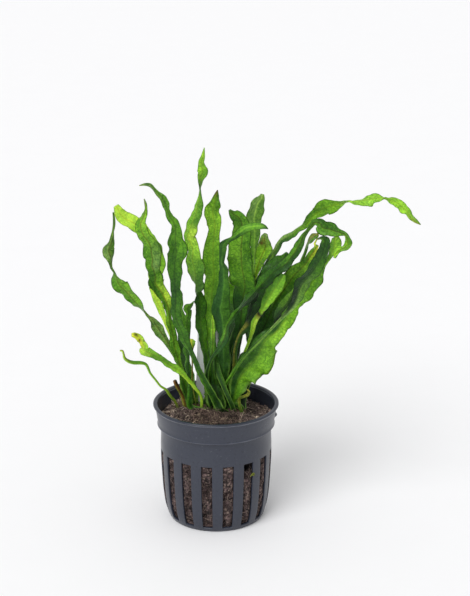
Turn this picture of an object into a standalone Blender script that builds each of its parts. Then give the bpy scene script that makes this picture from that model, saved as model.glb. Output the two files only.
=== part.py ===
"""Potted flaming java fern: a slotted net pot filled with fibre soil, a creeping rhizome and its leaves.

The origin is the centre of the pot's underside, +Z is up, and the plant is looked at along +Y.
"""

from collections import namedtuple
from math import cos, pi, radians, sin

import bmesh
import bpy
import numpy as np

MM = 0.001
GAP = 0.3

OBJECT_NAME = "potted_flaming_java_fern"

# The pot, in mm
RIM_RADIUS = 27.5
POT_HEIGHT = 52.0
WALL = 1.0
FLANGE = 1.6
COLLAR_TOP_RADIUS = RIM_RADIUS - FLANGE
COLLAR_DEPTH = 9.6
COLLAR_STEP = 0.6
BODY_TOP_RADIUS = 24.4
BODY_LOW_RADIUS = 24.0
BASE_RADIUS = 19.6
SLOT_COUNT = 16
SLOT_TOP = 32.0
SLOT_END = 2.0
FACETS_PER_SLOT = 4

# The soil, in mm: a level a little under the rim, with a ridge of fibre in front of the stalks
SOIL_LEVEL = 46.2
SOIL_FRONT_RISE = 2.4
RIDGE_HEIGHT = 4.2
RIDGE_LEFT = (-17.0, -5.0)
RIDGE_RIGHT = (12.0, -12.5)
RIDGE_SPREAD = 5.0
SOIL_FACETS = 32

# The rhizome, in mm: a thick creeping stem, half sunk in the soil
RHIZOME_RADIUS = 3.8
RHIZOME_LEFT = (-19.5, 3.5, 47.6)
RHIZOME_RIGHT = (14.0, -4.0, 47.8)

# The plain label behind the stalks, in mm
LABEL_SIZE = (19.2, 0.6, 52.0)
LABEL_FOOT = (0.4, 14.0, 33.0)
LABEL_TURN = 2.0
LABEL_LEAN = -4.0

# A leaf's solid, in mm: a ribbon with a raised midrib and thin edges
FOOT_GAP = 0.7
STALK_THICKNESS = 1.5
BLADE_THICKNESS = 0.9
EDGE_LIFT = 0.1
WAVE_SHARE = 0.12
WAVE_LENGTH = 15.0
STATION_PITCH = 5.0

# Leaf routes are drawn on the upright plane through the pot's axis, as seen from here (mm),
# and each point is then slid along the line of sight to its own depth.
VIEWPOINT = np.array([8.32, -650.9, 314.9])

# A foot is where a stalk leaves the rhizome: mm across, and the angle of its row from upright.
FOOT_ROWS = {1: -62.0, 2: -21.0, 3: 21.0, 4: 62.0}

# The points run from base to tip: across, height, depth, half width (mm), turn about the midrib (degrees).
Route = namedtuple("Route", "foot row points")

LEAF_ROUTES = {
    "leaf_far_left": Route(-14.2, 3, (
        (-15, 59, 3, 0.9, 150), (-17.5, 69.5, 3.5, 0.9, 150), (-20, 77, 4, 1.4, 150),
        (-23, 83, 4, 2.5, 150), (-25.5, 88.5, 3.5, 2.9, 145), (-29, 93, 3, 1.5, 95),
        (-33.5, 98, 2, 2.5, 40), (-38, 103.5, 1, 3.2, 30), (-41.5, 109, 0, 3.6, 35),
        (-44, 113.5, -1, 1.9, 95), (-45, 118.5, -2, 2.6, 145), (-45, 122.5, -3, 2.9, 150),
        (-43.5, 127, -4, 1.4, 140), (-42.5, 132.5, -5, 0.8, 130), (-43, 138.5, -6, 0.3, 130),
    )),
    "leaf_left_mid": Route(-11.4, 2, (
        (-13, 60.5, 1.5, 0.8, -15), (-15, 70, 1, 0.8, -20), (-17, 79, 0, 1.2, -25),
        (-19, 87, -1, 1.7, -30), (-20, 94, -2, 2.6, -35), (-22.5, 101, -3, 3.5, -30),
        (-25, 106, -4, 3.7, -30), (-26, 111, -5, 2.3, -20), (-26, 116.5, -5, 4.1, 20),
        (-27.5, 123, -5, 4.2, 25), (-29, 128, -6, 3.2, 30), (-30, 132.5, -7, 2.9, 30),
        (-29.5, 137.5, -9, 1.7, 30), (-29, 140.5, -10, 0.6, 30), (-30, 144.5, -12, 0.2, 30),
    )),
    "leaf_left_lime": Route(-11.6, 4, (
        (-14, 60.5, 5.5, 0.8, 20), (-16.5, 71.5, 6, 0.9, 25), (-19.5, 81.5, 7, 1.2, 30),
        (-22, 91.5, 8, 2.2, 30), (-25, 99.5, 9, 2.4, 25), (-27, 105, 9, 2.0, 15), (-27, 111, 9, 1.9, 0),
        (-25, 116.5, 9.5, 3.6, -20), (-24.5, 122, 10, 3.7, -25), (-27, 127.5, 10, 2.7, -20),
        (-31, 132.5, 10, 2.6, -15), (-35.5, 135.5, 10, 3.5, -15), (-39.5, 138.5, 9, 3.0, -10),
        (-42, 140, 8, 1.9, 0),
    )),
    "leaf_left_back": Route(-8.2, 4, (
        (-11.5, 60.5, 5.5, 0.9, 30), (-12, 70, 8, 0.9, 30), (-13, 77, 10, 1.2, 30),
        (-14, 83, 12, 2.5, 30), (-15.5, 90.5, 14.5, 3.0, 30), (-16.5, 99.5, 17.5, 2.6, 35),
        (-17, 107.5, 20, 2.1, 35), (-17, 116.5, 22.5, 2.6, 35), (-17.5, 123.5, 24.5, 2.0, 30),
        (-18.5, 130, 26, 0.3, 30),
    )),
    "leaf_front_dark": Route(4.4, 1, (
        (1, 53.5, -8.5, 0.9, 0), (-3, 60.5, -10.5, 1.0, 5), (-8, 69, -13, 1.1, 10),
        (-11.5, 77.5, -15, 1.2, 15), (-13.5, 83.5, -16.5, 1.9, 20), (-15.5, 89.5, -17.5, 2.8, 25),
        (-16.5, 96, -18, 2.8, 25), (-16.5, 101.5, -18, 2.7, 20), (-17, 106.5, -18, 2.1, 10),
        (-17, 112, -18, 3.5, -10), (-17, 116.5, -18, 3.5, -20), (-16, 122, -18, 4.6, -25),
        (-16.5, 127, -18.5, 3.3, -25), (-17, 131.5, -19, 2.5, -20), (-18.5, 135.5, -19.5, 1.8, -20),
        (-20.5, 139, -20, 1.5, -20), (-21.5, 142.5, -21, 2.1, -20), (-23, 145.5, -22, 1.8, -20),
        (-25, 148, -23, 1.2, -20), (-27, 150, -24, 0.8, -20), (-30, 150.5, -25.5, 0.5, -20),
        (-32, 150, -27, 0.2, -20),
    )),
    "leaf_small_dark": Route(-2.9, 1, (
        (-4, 55, -7, 0.8, 0), (-8, 64, -8.2, 0.8, 0), (-11, 71, -9, 1.0, 10), (-12.5, 77, -9.5, 2.0, 15),
        (-12.5, 81.5, -10, 1.7, 20), (-12.5, 87, -10, 2.3, 20), (-12.5, 91.5, -10.5, 2.2, 20),
        (-11.5, 95.5, -11, 1.8, 15), (-9.5, 99, -11, 0.3, 10),
    )),
    "leaf_curled_lime": Route(-6.3, 1, (
        (-8.5, 58, -6.5, 0.7, 0), (-11.5, 62, -8.5, 0.9, 10), (-15.5, 67, -11.5, 1.3, 25),
        (-20, 70.5, -14, 1.5, 30), (-24, 73.5, -17, 1.8, 30), (-27.5, 75.5, -19, 2.2, 25),
        (-30, 77.5, -20.5, 2.2, 10), (-31.5, 80, -22, 1.6, -20), (-32.5, 82.5, -23, 1.9, -35),
        (-35.5, 83, -24.5, 1.1, -40),
    )),
    "shoot_curly_left": Route(-16.4, 1, (
        (-18, 53, -3.5, 0.6, 0), (-20, 55.5, -5.5, 0.6, 0), (-22, 58.5, -7.5, 0.5, 0),
        (-24, 60, -9, 0.5, 0), (-26, 62.5, -10, 0.5, 0), (-28.5, 66, -11.5, 0.5, 0),
        (-31, 70.5, -13, 0.7, 10), (-33, 71, -13.5, 0.9, 20), (-35, 71, -14, 0.9, 20),
        (-37.5, 71.5, -15, 0.8, 20), (-39.5, 73, -16, 0.7, 0), (-40, 75, -16.5, 0.5, 0),
        (-40.5, 76.5, -17, 0.4, 0), (-41.5, 76.5, -17.5, 0.3, 0),
    )),
    "stub_brown_left": Route(-13.2, 1, (
        (-15.5, 57, -3, 0.8, 0), (-17, 60, -4.5, 0.9, 0), (-18, 62.5, -6, 0.8, 0),
    )),
    "leaf_small_yellow": Route(-8.8, 2, (
        (-10, 60.5, 1, 0.5, 0), (-9.5, 66.5, 1.5, 0.5, 0), (-10, 73, 2, 0.5, 0),
        (-10.5, 77.5, 2, 0.6, 10), (-10.5, 80, 1.5, 1.4, 20), (-10.5, 81.5, 0.8, 1.8, 30),
    )),
    "leaf_tall_centre": Route(-0.6, 2, (
        (-2, 60.5, -3, 0.9, -10), (-4, 71.5, -4, 1.5, -20), (-5, 79, -5, 2.0, -30),
        (-6, 86, -6, 2.6, -35), (-6.5, 93, -7, 3.1, -35), (-7.5, 98.5, -7.5, 3.1, -40),
        (-9, 103, -8, 1.7, -85), (-8.5, 108, -8.5, 2.8, -140), (-8.5, 113, -9, 4.2, -150),
        (-8.5, 116.5, -9, 4.2, -155), (-9, 120, -9, 3.3, -155), (-10, 124, -9, 3.3, -155),
        (-11.5, 127, -9, 2.4, -150), (-11, 131, -9, 2.5, -150), (-9.5, 135.5, -8.5, 3.2, -150),
        (-7.5, 140, -8, 2.4, -145), (-6.5, 144.5, -7.5, 1.5, -120), (-6, 148, -7, 1.3, -100),
        (-6.5, 150.5, -6.5, 0.8, -60), (-6, 153.5, -6, 1.6, -30), (-5.5, 156, -6, 2.4, -25),
        (-5.5, 159.5, -6, 1.8, -20), (-5, 163, -6, 0.9, -20), (-4.5, 166, -6, 0.2, -20),
    )),
    "leaf_tall_bright": Route(8.3, 1, (
        (4.5, 57.5, -8.6, 0.8, 0), (1, 68.5, -6, 0.8, 10), (-1, 77.5, -4, 1.4, 20),
        (-2, 84.5, -2.5, 1.8, 25), (-2.5, 91.5, -1.5, 1.9, 25), (-3, 98, -0.5, 2.2, 25),
        (-2.5, 104, 0.5, 2.5, 20), (-1.5, 111, 1, 3.1, 15), (-1.5, 116.5, 1.5, 3.5, 10),
        (-1.5, 122, 2, 3.5, 5), (-1, 127, 2, 3.2, -5), (-0.5, 131, 2, 2.4, -10),
        (-0.5, 134.5, 2, 3.3, -15), (-1.5, 138, 1.5, 3.6, -20), (-1.5, 141, 1, 3.4, -20),
        (-0.5, 144.5, 0, 2.0, -20), (1, 148, -1, 0.2, -20),
    )),
    "leaf_small_centre": Route(0.2, 1, (
        (-0.5, 60.5, -5.6, 0.6, 0), (-0.5, 69.5, -8.8, 0.7, 0), (-1, 77, -9.4, 1.0, 0),
        (-1.5, 82.5, -10.5, 1.1, 0), (-1.5, 88, -12, 1.0, 0), (-1.5, 92.5, -13, 0.2, 0),
    )),
    "leaf_arched_blue": Route(4.9, 2, (
        (4, 60.5, -2.8, 0.9, 0), (3.5, 71.5, -5.5, 1.3, -10), (2.5, 79, -7, 2.5, -15),
        (3, 85, -8.5, 3.4, -20), (2.5, 90.5, -9.5, 4.3, -20), (2, 95, -10, 4.7, -20),
        (3, 99.5, -10.5, 3.8, -15), (3.5, 104, -11, 3.0, -10), (3.5, 108.5, -11, 2.6, 0),
        (4, 113, -11, 2.2, 10), (3, 117.5, -11, 1.6, 20), (2.5, 121.5, -11, 1.8, 30),
        (4, 125, -11.5, 1.8, 40), (6.5, 127.5, -12, 1.5, 40), (9.5, 129.5, -13, 1.5, 30),
        (13, 131.5, -14, 1.7, 20), (16.5, 132.5, -15, 1.6, 20), (19.5, 132.5, -16, 1.3, 20),
        (22.5, 131, -17, 0.2, 20),
    )),
    "leaf_fork_right": Route(-3.2, 2, (
        (-4, 60.5, -4, 0.8, 0), (-3, 69, -8.5, 0.8, 10), (-1, 74, -12, 1.5, 20),
        (2.5, 78.5, -14.5, 2.9, 25), (4.5, 83, -16, 3.2, 25), (6, 87, -16.5, 2.4, 40),
        (8, 92, -16.5, 1.3, 60), (10.5, 96.5, -16, 1.3, 70), (14, 101.5, -16, 1.3, 70),
        (18, 106.5, -16, 1.3, 60), (22.5, 111, -16, 1.6, 50), (26.5, 115, -16, 2.0, 40),
        (30.5, 118.5, -16.5, 2.5, 30), (33, 122, -17, 2.8, 25), (35, 125.5, -17.5, 2.6, 20),
        (37.5, 129, -18, 1.5, 10), (40, 133, -19, 1.1, 0), (43.5, 134.5, -20, 2.1, -10),
        (46.5, 132.5, -21, 3.1, -15), (50, 131, -22, 2.9, -10), (53.5, 129.5, -23, 1.9, -10),
        (56.5, 127, -24, 1.6, -30), (56.5, 124, -25.5, 2.5, -60), (54, 122, -27, 2.5, -60),
        (52, 120.5, -28, 2.0, -50), (50.5, 118, -29, 0.3, -40),
    )),
    "leaf_broad_centre": Route(3.4, 3, (
        (4.5, 60.5, 1.5, 0.8, 0), (6, 72, 2.5, 0.9, 0), (9, 83.5, 2, 1.5, 10), (11.5, 93, 0.5, 2.4, 15),
        (13, 99.5, 0, 3.4, 20), (12.5, 106.5, -1, 4.5, 20), (11.5, 113, -2, 4.8, 15),
        (10.5, 119.5, -3, 4.7, 10), (10.5, 126.5, -4, 4.3, 5), (10.5, 131.5, -5, 3.6, 0),
        (9.5, 136, -6, 3.2, -5), (8, 138.5, -7, 2.0, -10),
    )),
    "leaf_round_tip": Route(4.2, 4, (
        (7, 60.5, 5.5, 0.7, 0), (8.5, 72, 6.5, 0.7, 0), (10.5, 86, 9, 1.1, -10),
        (13.5, 98.5, 12, 1.8, -20), (15.5, 111, 14.5, 2.1, -25), (16, 118.5, 16, 2.5, -25),
        (16.5, 124.5, 17, 2.9, -25), (16.5, 130, 18, 3.3, -25), (16, 134.5, 18.5, 3.6, -25),
        (16.5, 138, 19, 3.6, -25), (18, 141.5, 19.5, 3.2, -25), (19, 144.5, 20, 2.2, -25),
        (20, 146, 20.5, 0.8, -25),
    )),
    "leaf_spotted_tip": Route(1.5, 4, (
        (5, 60.5, 5.5, 0.7, 0), (6.5, 72, 6, 0.7, 0), (10.5, 88.5, 6.5, 0.7, 0), (13.5, 97.5, 7, 0.9, 10),
        (15.5, 104, 7, 0.9, 20), (17, 109.5, 7, 0.8, 25), (18, 114.5, 7, 2.1, 25),
        (19.5, 119, 6.5, 3.0, 25), (20.5, 123, 6, 3.7, 25), (21, 126, 5, 3.0, 25),
        (21.5, 128.5, 4, 1.2, 25),
    )),
    "leaf_long_right": Route(0.6, 3, (
        (2.5, 60.5, 2.5, 0.8, 0), (4.5, 72, 3.5, 0.8, 0), (7.5, 84.5, 3.5, 0.9, 10),
        (11, 94.5, 3.5, 1.0, 10), (14.5, 103, 3.2, 1.0, 10), (18.5, 111, 2.5, 1.1, 10),
        (22.5, 117.5, 1, 1.3, 20), (25.5, 123, 0, 1.6, 30), (29.5, 127, -2, 1.9, 40),
        (33.5, 129.5, -3.5, 1.7, 30), (36, 132, -5, 1.7, 10), (38.5, 135, -6.5, 2.3, -10),
        (41.5, 138, -8, 3.1, -20), (44.5, 140, -9.5, 3.8, -25), (48.5, 141, -11, 3.3, -30),
        (52, 142.5, -12.5, 2.1, -40), (55.5, 143.5, -14, 1.7, -75), (60, 143.5, -15.5, 2.7, -130),
        (65.5, 144, -17, 3.3, -140), (69, 144, -18.5, 2.2, -130), (71.5, 144.5, -19.5, 1.5, -80),
        (74.5, 143, -21, 2.0, -40), (77.5, 141.5, -22.5, 2.6, -25), (80.5, 139.5, -24, 2.0, -20),
        (83.5, 136.5, -25.5, 1.3, -20), (87, 133.5, -27, 0.2, -20),
    )),
    "leaf_dark_right": Route(6.0, 3, (
        (7, 60.5, -0.5, 0.6, 0), (7, 71.5, -1.5, 0.6, 0), (8.5, 80, -3, 0.6, 0),
        (11.5, 86, -4.5, 0.7, 10), (15, 90, -5.5, 0.8, 20), (18, 95.5, -6.5, 2.2, 30),
        (20.5, 101, -7.5, 3.1, 35), (22.5, 106.5, -8, 3.1, 35), (25, 111.5, -8, 2.2, 30),
        (28, 116.5, -8, 1.5, 20), (30.5, 121, -8, 0.3, 20),
    )),
    "leaf_yellow_neck": Route(8.8, 3, (
        (8.5, 59, 0, 0.6, 0), (9.5, 67.5, -0.5, 0.7, 0), (11.5, 75.5, -1.5, 0.7, 0),
        (13.5, 80, -3.5, 0.8, 10), (15.5, 85, -6.5, 1.1, 15), (17.5, 90, -10, 1.5, 20),
        (19, 94, -12.5, 1.4, 20), (22, 98.5, -15, 2.2, 15), (23.5, 102.5, -17, 3.1, 5),
        (26, 106, -18.5, 3.2, -5), (28.5, 110, -20, 2.6, -15), (30.5, 113.5, -21, 1.4, -20),
        (32, 115.5, -22, 0.3, -20),
    )),
    "leaf_hooked": Route(2.1, 2, (
        (3.5, 59, -5, 0.7, 0), (6.5, 65.5, -10.5, 0.8, 0), (10.5, 71.5, -14, 0.8, 10),
        (15, 77, -15.5, 0.8, 20), (19, 81.5, -17.5, 0.7, 20), (23.5, 86, -19, 0.7, 20),
        (28, 91, -20.5, 0.7, 0), (31.5, 96, -21.5, 1.9, -25), (34.5, 100.5, -22.5, 3.2, -35),
        (37.5, 105.5, -23, 3.3, -40), (40.5, 110.5, -23.5, 3.6, -40), (43, 115.5, -24, 3.6, -35),
        (44.5, 121, -24.5, 3.4, -30), (45.5, 125, -25, 2.7, -20), (44.5, 128, -26, 1.5, 10),
        (43, 128, -27.5, 1.3, 30), (42, 126, -29, 0.9, 40), (43, 123, -30, 0.4, 40),
    )),
    "leaf_big_right": Route(10.8, 2, (
        (9, 55, -5, 1.8, -10), (9.5, 58.5, -6, 3.2, -15), (10.5, 62.5, -7, 4.4, -18),
        (12.5, 66, -8, 5.3, -20), (15.5, 69, -9, 6.1, -20), (18.5, 72.5, -10, 6.6, -20),
        (21, 76.5, -11, 5.6, -15), (23, 79.5, -12, 3.8, -10), (25, 82, -12.5, 2.6, -5),
        (28, 84.5, -13, 2.4, 0), (30.5, 87.5, -13.5, 1.9, 10), (33.5, 90.5, -14, 1.8, 20),
        (35, 93.5, -14, 1.5, 30), (37, 98, -14.5, 1.4, 30), (39.5, 102, -15, 2.7, 20),
        (42.5, 106.5, -15.5, 3.3, 10), (44, 111, -16, 2.1, 0), (46, 115.5, -17, 1.7, -10),
        (48.5, 119, -18, 2.3, -20), (50.5, 123, -19, 2.4, -30), (51.5, 126.5, -20, 1.8, -30),
        (52, 129.5, -20.5, 0.5, -30),
    )),
    "leaf_broad_right": Route(7.0, 4, (
        (9, 60.5, 3.5, 0.7, 0), (12, 71.5, 3, 0.7, 0), (15.5, 79, 1.5, 1.1, 10), (19, 85, 0, 2.2, 20),
        (22, 91, -1, 3.6, 25), (25.5, 96.5, -2.5, 3.6, 25), (29, 101.5, -4, 2.3, 20),
        (32, 106, -5.5, 2.2, 10), (35, 110.5, -7, 2.7, 0), (38, 114.5, -8.5, 2.6, -10),
        (40, 119, -10, 1.7, -15), (41.5, 123.5, -11, 0.3, -20),
    )),
    "leaf_thin_right": Route(9.6, 4, (
        (11, 60.5, 5, 0.7, 0), (15.5, 71.5, 6.5, 0.7, 0), (20, 83.5, 8, 0.7, 10), (24, 96, 9, 1.1, 30),
        (28, 106, 8, 1.9, 50), (32, 113, 6, 1.7, 65), (36, 117, 3.5, 1.7, 70), (38, 121.5, 1, 1.7, 70),
        (39, 125, -2, 1.7, 65), (40.5, 127.5, -5, 1.6, 50), (42.5, 129, -7.5, 1.0, 40),
        (44, 129, -9, 0.3, 40),
    )),
    "leaf_back_centre": Route(-2.4, 4, (
        (0, 60.5, 6.5, 0.7, 0), (2.5, 72, 8.5, 0.7, 10), (6.5, 88.5, 12.5, 1.8, 20),
        (10, 99.5, 18, 3.5, 30), (12, 108.5, 22.5, 3.4, 30), (13, 116.5, 26, 2.6, 25),
        (12.5, 123.5, 28.5, 0.3, 20),
    )),
    "leaf_back_tall": Route(-5.4, 4, (
        (-3.5, 60.5, 6, 0.7, 0), (-3, 72, 8, 0.7, 10), (-1.5, 86, 12, 1.2, 20), (-1.5, 99.5, 17, 1.7, 25),
        (-1.5, 113, 21.5, 2.6, 25), (-1.5, 124, 25, 2.7, 20), (-1, 134.5, 28, 2.2, 15),
        (-0.5, 142.5, 30, 0.3, 10),
    )),
    "leaf_back_right": Route(11.6, 4, (
        (13.5, 62, 5.5, 0.7, 0), (16.5, 71.5, 8.5, 1.0, -10), (20.5, 80.5, 12.5, 2.3, -20),
        (24.5, 88.5, 16.5, 3.6, -30), (28, 96.5, 20, 3.7, -35), (31, 103, 23, 2.7, -30),
        (33.5, 109, 25.5, 1.9, -25), (35.5, 114, 27.5, 0.3, -20),
    )),
    "leaflet_curled_right": Route(11.6, 1, (
        (10.5, 54.5, -7.5, 0.6, 0), (12, 55, -8.5, 0.7, 20), (14, 56, -9.5, 0.8, 30),
        (14.5, 57.5, -10, 0.6, 30), (13.5, 58.5, -10, 0.3, 20),
    )),
}

LEAF_COLOURS = {
    "lime": (0.36, 0.62, 0.05),
    "bright": (0.16, 0.40, 0.03),
    "mid": (0.09, 0.28, 0.025),
    "dark": (0.03, 0.11, 0.02),
    "blue": (0.035, 0.15, 0.045),
    "brown": (0.17, 0.12, 0.03),
}

LEAF_TINTS = {
    "leaf_left_lime": "lime",
    "leaf_curled_lime": "lime",
    "shoot_curly_left": "lime",
    "leaf_small_yellow": "lime",
    "leaf_yellow_neck": "lime",
    "leaf_tall_centre": "bright",
    "leaf_tall_bright": "bright",
    "leaf_long_right": "bright",
    "leaf_big_right": "bright",
    "leaf_front_dark": "dark",
    "leaf_small_dark": "dark",
    "leaf_left_back": "dark",
    "leaf_dark_right": "dark",
    "leaf_hooked": "dark",
    "leaf_back_centre": "dark",
    "leaf_back_tall": "dark",
    "leaf_back_right": "dark",
    "leaf_arched_blue": "blue",
    "leaf_round_tip": "blue",
    "stub_brown_left": "brown",
    "leaflet_curled_right": "brown",
}


def clear_scene():
    for obj in list(bpy.data.objects):
        bpy.data.objects.remove(obj, do_unlink=True)


def new_collection(name):
    collection = bpy.data.collections.new(name)
    bpy.context.scene.collection.children.link(collection)
    return collection


def plain_material(name, colour, roughness):
    material = bpy.data.materials.new(name)
    material.use_nodes = True
    shader = material.node_tree.nodes["Principled BSDF"]
    shader.inputs["Base Color"].default_value = (*colour, 1.0)
    shader.inputs["Roughness"].default_value = roughness
    shader.inputs["Metallic"].default_value = 0.0
    return material


def add_object(name, mesh, collection, material=None):
    obj = bpy.data.objects.new(name, mesh)
    collection.objects.link(obj)
    if material:
        mesh.materials.append(material)
    return obj


def mesh_from_bmesh(name, bm):
    mesh = bpy.data.meshes.new(name)
    bm.to_mesh(mesh)
    bm.free()
    return mesh


def shade_round(mesh, angle=radians(40)):
    mesh.shade_smooth()
    mesh.set_sharp_from_angle(angle=angle)


def turned_mesh(name, profile, steps):
    """A profile of (radius, height) in mm, running down its outer side, turned about Z."""
    bm = bmesh.new()
    verts = [bm.verts.new((radius * MM, 0, height * MM)) for radius, height in profile]
    for upper, lower in zip(verts, verts[1:]):
        bm.edges.new((upper, lower))
    obj = bpy.data.objects.new(name, mesh_from_bmesh(name, bm))
    bpy.context.scene.collection.objects.link(obj)
    screw = obj.modifiers.new("turn", "SCREW")
    screw.steps = steps
    screw.render_steps = steps
    screw.use_merge_vertices = True
    screw.merge_threshold = 0.00001
    bpy.context.view_layer.update()
    turned = bpy.data.meshes.new_from_object(obj.evaluated_get(bpy.context.evaluated_depsgraph_get()))
    bpy.data.objects.remove(obj, do_unlink=True)
    turned.name = name
    return turned


def cut(obj, cutter):
    boolean = obj.modifiers.new("cut " + cutter.name, "BOOLEAN")
    boolean.operation = "DIFFERENCE"
    boolean.solver = "EXACT"
    boolean.object = cutter


def as_cutter(obj):
    obj.hide_render = True
    obj.display_type = "WIRE"
    return obj


def pot_profile():
    """The outside of the pot, from the edge of its flange down to the middle of its base."""
    step = POT_HEIGHT - COLLAR_DEPTH
    return [
        (RIM_RADIUS, POT_HEIGHT - WALL),
        (COLLAR_TOP_RADIUS + 0.3, POT_HEIGHT - WALL - 0.2),
        (COLLAR_TOP_RADIUS - 0.1, POT_HEIGHT - WALL - 1.0),
        (COLLAR_TOP_RADIUS - 0.8, step + 3.2),
        (BODY_TOP_RADIUS + COLLAR_STEP, step + 0.2),
        (BODY_TOP_RADIUS, step - 0.5),
        (BODY_TOP_RADIUS, SLOT_TOP),
        (BODY_LOW_RADIUS, 20.0),
        (BODY_LOW_RADIUS - 0.7, 10.5),
        (BODY_LOW_RADIUS - 1.6, 5.2),
        (BASE_RADIUS + 1.7, SLOT_END),
        (BASE_RADIUS + 0.7, 0.5),
        (BASE_RADIUS, 0.0),
        (0.0, 0.0),
    ]


def in_a_slot(face):
    centre = face.calc_center_median() / MM
    if not SLOT_END < centre.z < SLOT_TOP:
        return False
    facet = int(np.degrees(np.arctan2(centre.y, centre.x)) % 360 / (360 / (SLOT_COUNT * FACETS_PER_SLOT)))
    return (facet - 1) % FACETS_PER_SLOT < FACETS_PER_SLOT // 2


def make_pot(collection):
    """A shell with a flange, a stepped collar and a ring of slots that run down round the bottom edge."""
    mesh = turned_mesh("net_pot", pot_profile(), SLOT_COUNT * FACETS_PER_SLOT)
    bm = bmesh.new()
    bm.from_mesh(mesh)
    slots = [face for face in bm.faces if in_a_slot(face)]
    bmesh.ops.delete(bm, geom=slots, context="FACES")
    bm.to_mesh(mesh)
    bm.free()
    mesh.materials.clear()
    plastic = plain_material("slate plastic", (0.06, 0.066, 0.085), 0.42)
    pot = add_object("net_pot", mesh, collection, plastic)
    wall = pot.modifiers.new("wall", "SOLIDIFY")
    wall.thickness = WALL * MM
    wall.offset = -1
    wall.use_even_offset = True
    shade_round(mesh)
    return pot


def soil_height(x, y):
    """Soil level in mm: rising to the front, with a ridge before the stalks and a lumpy surface."""
    along = np.array(RIDGE_RIGHT) - RIDGE_LEFT
    share = ((x - RIDGE_LEFT[0]) * along[0] + (y - RIDGE_LEFT[1]) * along[1]) / (along @ along)
    share = np.clip(share, 0, 1)
    away = np.hypot(x - RIDGE_LEFT[0] - share * along[0], y - RIDGE_LEFT[1] - share * along[1])
    ridge = np.exp(-((away / RIDGE_SPREAD) ** 2))
    lumps = 0.35 * np.sin(0.9 * x + 0.5) * np.sin(1.1 * y + 1.3) + 0.25 * np.sin(1.9 * x - 1.2 * y)
    front = np.clip(-y / RIM_RADIUS, 0, 1)
    return SOIL_LEVEL + SOIL_FRONT_RISE * front + RIDGE_HEIGHT * ridge + lumps


def soil_profile():
    """The plug inside the pot, a gap clear of its wall: the middle of its top to that of its base."""
    inset = WALL + GAP
    sides = [(radius - inset, height) for radius, height in pot_profile()[5:-4]]
    rings = [(sides[0][0] * share, SOIL_LEVEL) for share in (0.0, 0.16, 0.32, 0.48, 0.63, 0.77, 0.9)]
    top_edge = (sides[0][0] + 0.9, SOIL_LEVEL)
    foot = [(BASE_RADIUS - 1.3, inset), (0.0, inset)]
    return rings + [top_edge] + sides + foot


def make_soil(collection, material):
    mesh = turned_mesh("fibre_soil", soil_profile(), SOIL_FACETS)
    for vertex in mesh.vertices:
        x, y, z = (value / MM for value in vertex.co)
        if z > SOIL_LEVEL - 1e-3:
            vertex.co.z = soil_height(x, y) * MM
    soil = add_object("fibre_soil", mesh, collection, material)
    shade_round(mesh, radians(60))
    return soil


def rhizome_axis(across):
    """The point of the rhizome's middle line that lies at this distance across, in mm."""
    left = np.array(RHIZOME_LEFT)
    right = np.array(RHIZOME_RIGHT)
    share = (across - left[0]) / (right[0] - left[0])
    return left + share * (right - left)


def rhizome_curve(name, grow, collection):
    """A knobbly stem as a bevelled curve, thinner towards both ends, and larger by grow (mm) all round."""
    data = bpy.data.curves.new(name, "CURVE")
    data.dimensions = "3D"
    data.bevel_depth = (RHIZOME_RADIUS + grow) * MM
    data.bevel_resolution = 2
    data.use_fill_caps = True
    spline = data.splines.new("POLY")
    knobs = (0.35, 0.85, 1.0, 0.93, 1.0, 0.96, 1.0, 0.92, 1.0, 0.97, 0.85, 0.35)
    spline.points.add(len(knobs) - 1)
    left = RHIZOME_LEFT[0] - grow
    length = RHIZOME_RIGHT[0] + grow - left
    for index, (point, knob) in enumerate(zip(spline.points, knobs)):
        place = rhizome_axis(left + length * index / (len(knobs) - 1))
        point.co = (*(place * MM), 1.0)
        point.radius = knob
    obj = bpy.data.objects.new(name, data)
    collection.objects.link(obj)
    return obj


def curve_to_mesh(obj, collection, material=None):
    """The curve's own surface as a mesh object of the same name, with its caps welded on."""
    bpy.context.view_layer.update()
    name = obj.name
    mesh = bpy.data.meshes.new_from_object(obj.evaluated_get(bpy.context.evaluated_depsgraph_get()))
    place = obj.matrix_world.copy()
    bpy.data.objects.remove(obj, do_unlink=True)
    bm = bmesh.new()
    bm.from_mesh(mesh)
    bmesh.ops.remove_doubles(bm, verts=bm.verts, dist=1e-6)
    bm.to_mesh(mesh)
    bm.free()
    made = add_object(name, mesh, collection, material)
    made.matrix_world = place
    return made


def make_rhizome(collection, cutters, soil):
    material = plain_material("rhizome", (0.075, 0.055, 0.02), 0.8)
    groove = curve_to_mesh(rhizome_curve("rhizome_groove", GAP, cutters), cutters)
    cut(soil, as_cutter(groove))
    rhizome = curve_to_mesh(rhizome_curve("rhizome", 0, collection), collection, material)
    shade_round(rhizome.data, radians(60))
    return rhizome


def label_plate(name, grow, collection, material=None):
    """An upright plate on its foot, larger by grow (mm) on every side."""
    bm = bmesh.new()
    bmesh.ops.create_cube(bm, size=1.0)
    size = [(side + 2 * grow) * MM for side in LABEL_SIZE]
    bmesh.ops.scale(bm, vec=size, verts=bm.verts)
    bmesh.ops.translate(bm, vec=(0, 0, LABEL_SIZE[2] / 2 * MM), verts=bm.verts)
    plate = add_object(name, mesh_from_bmesh(name, bm), collection, material)
    plate.location = [value * MM for value in LABEL_FOOT]
    plate.rotation_euler = (radians(LABEL_LEAN), radians(LABEL_TURN), 0)
    return plate


def make_label(collection, cutters, soil):
    cut(soil, as_cutter(label_plate("label_slot", GAP, cutters)))
    plastic = plain_material("pale plastic", (0.62, 0.68, 0.70), 0.4)
    return label_plate("plant_label", 0, collection, plastic)


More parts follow.
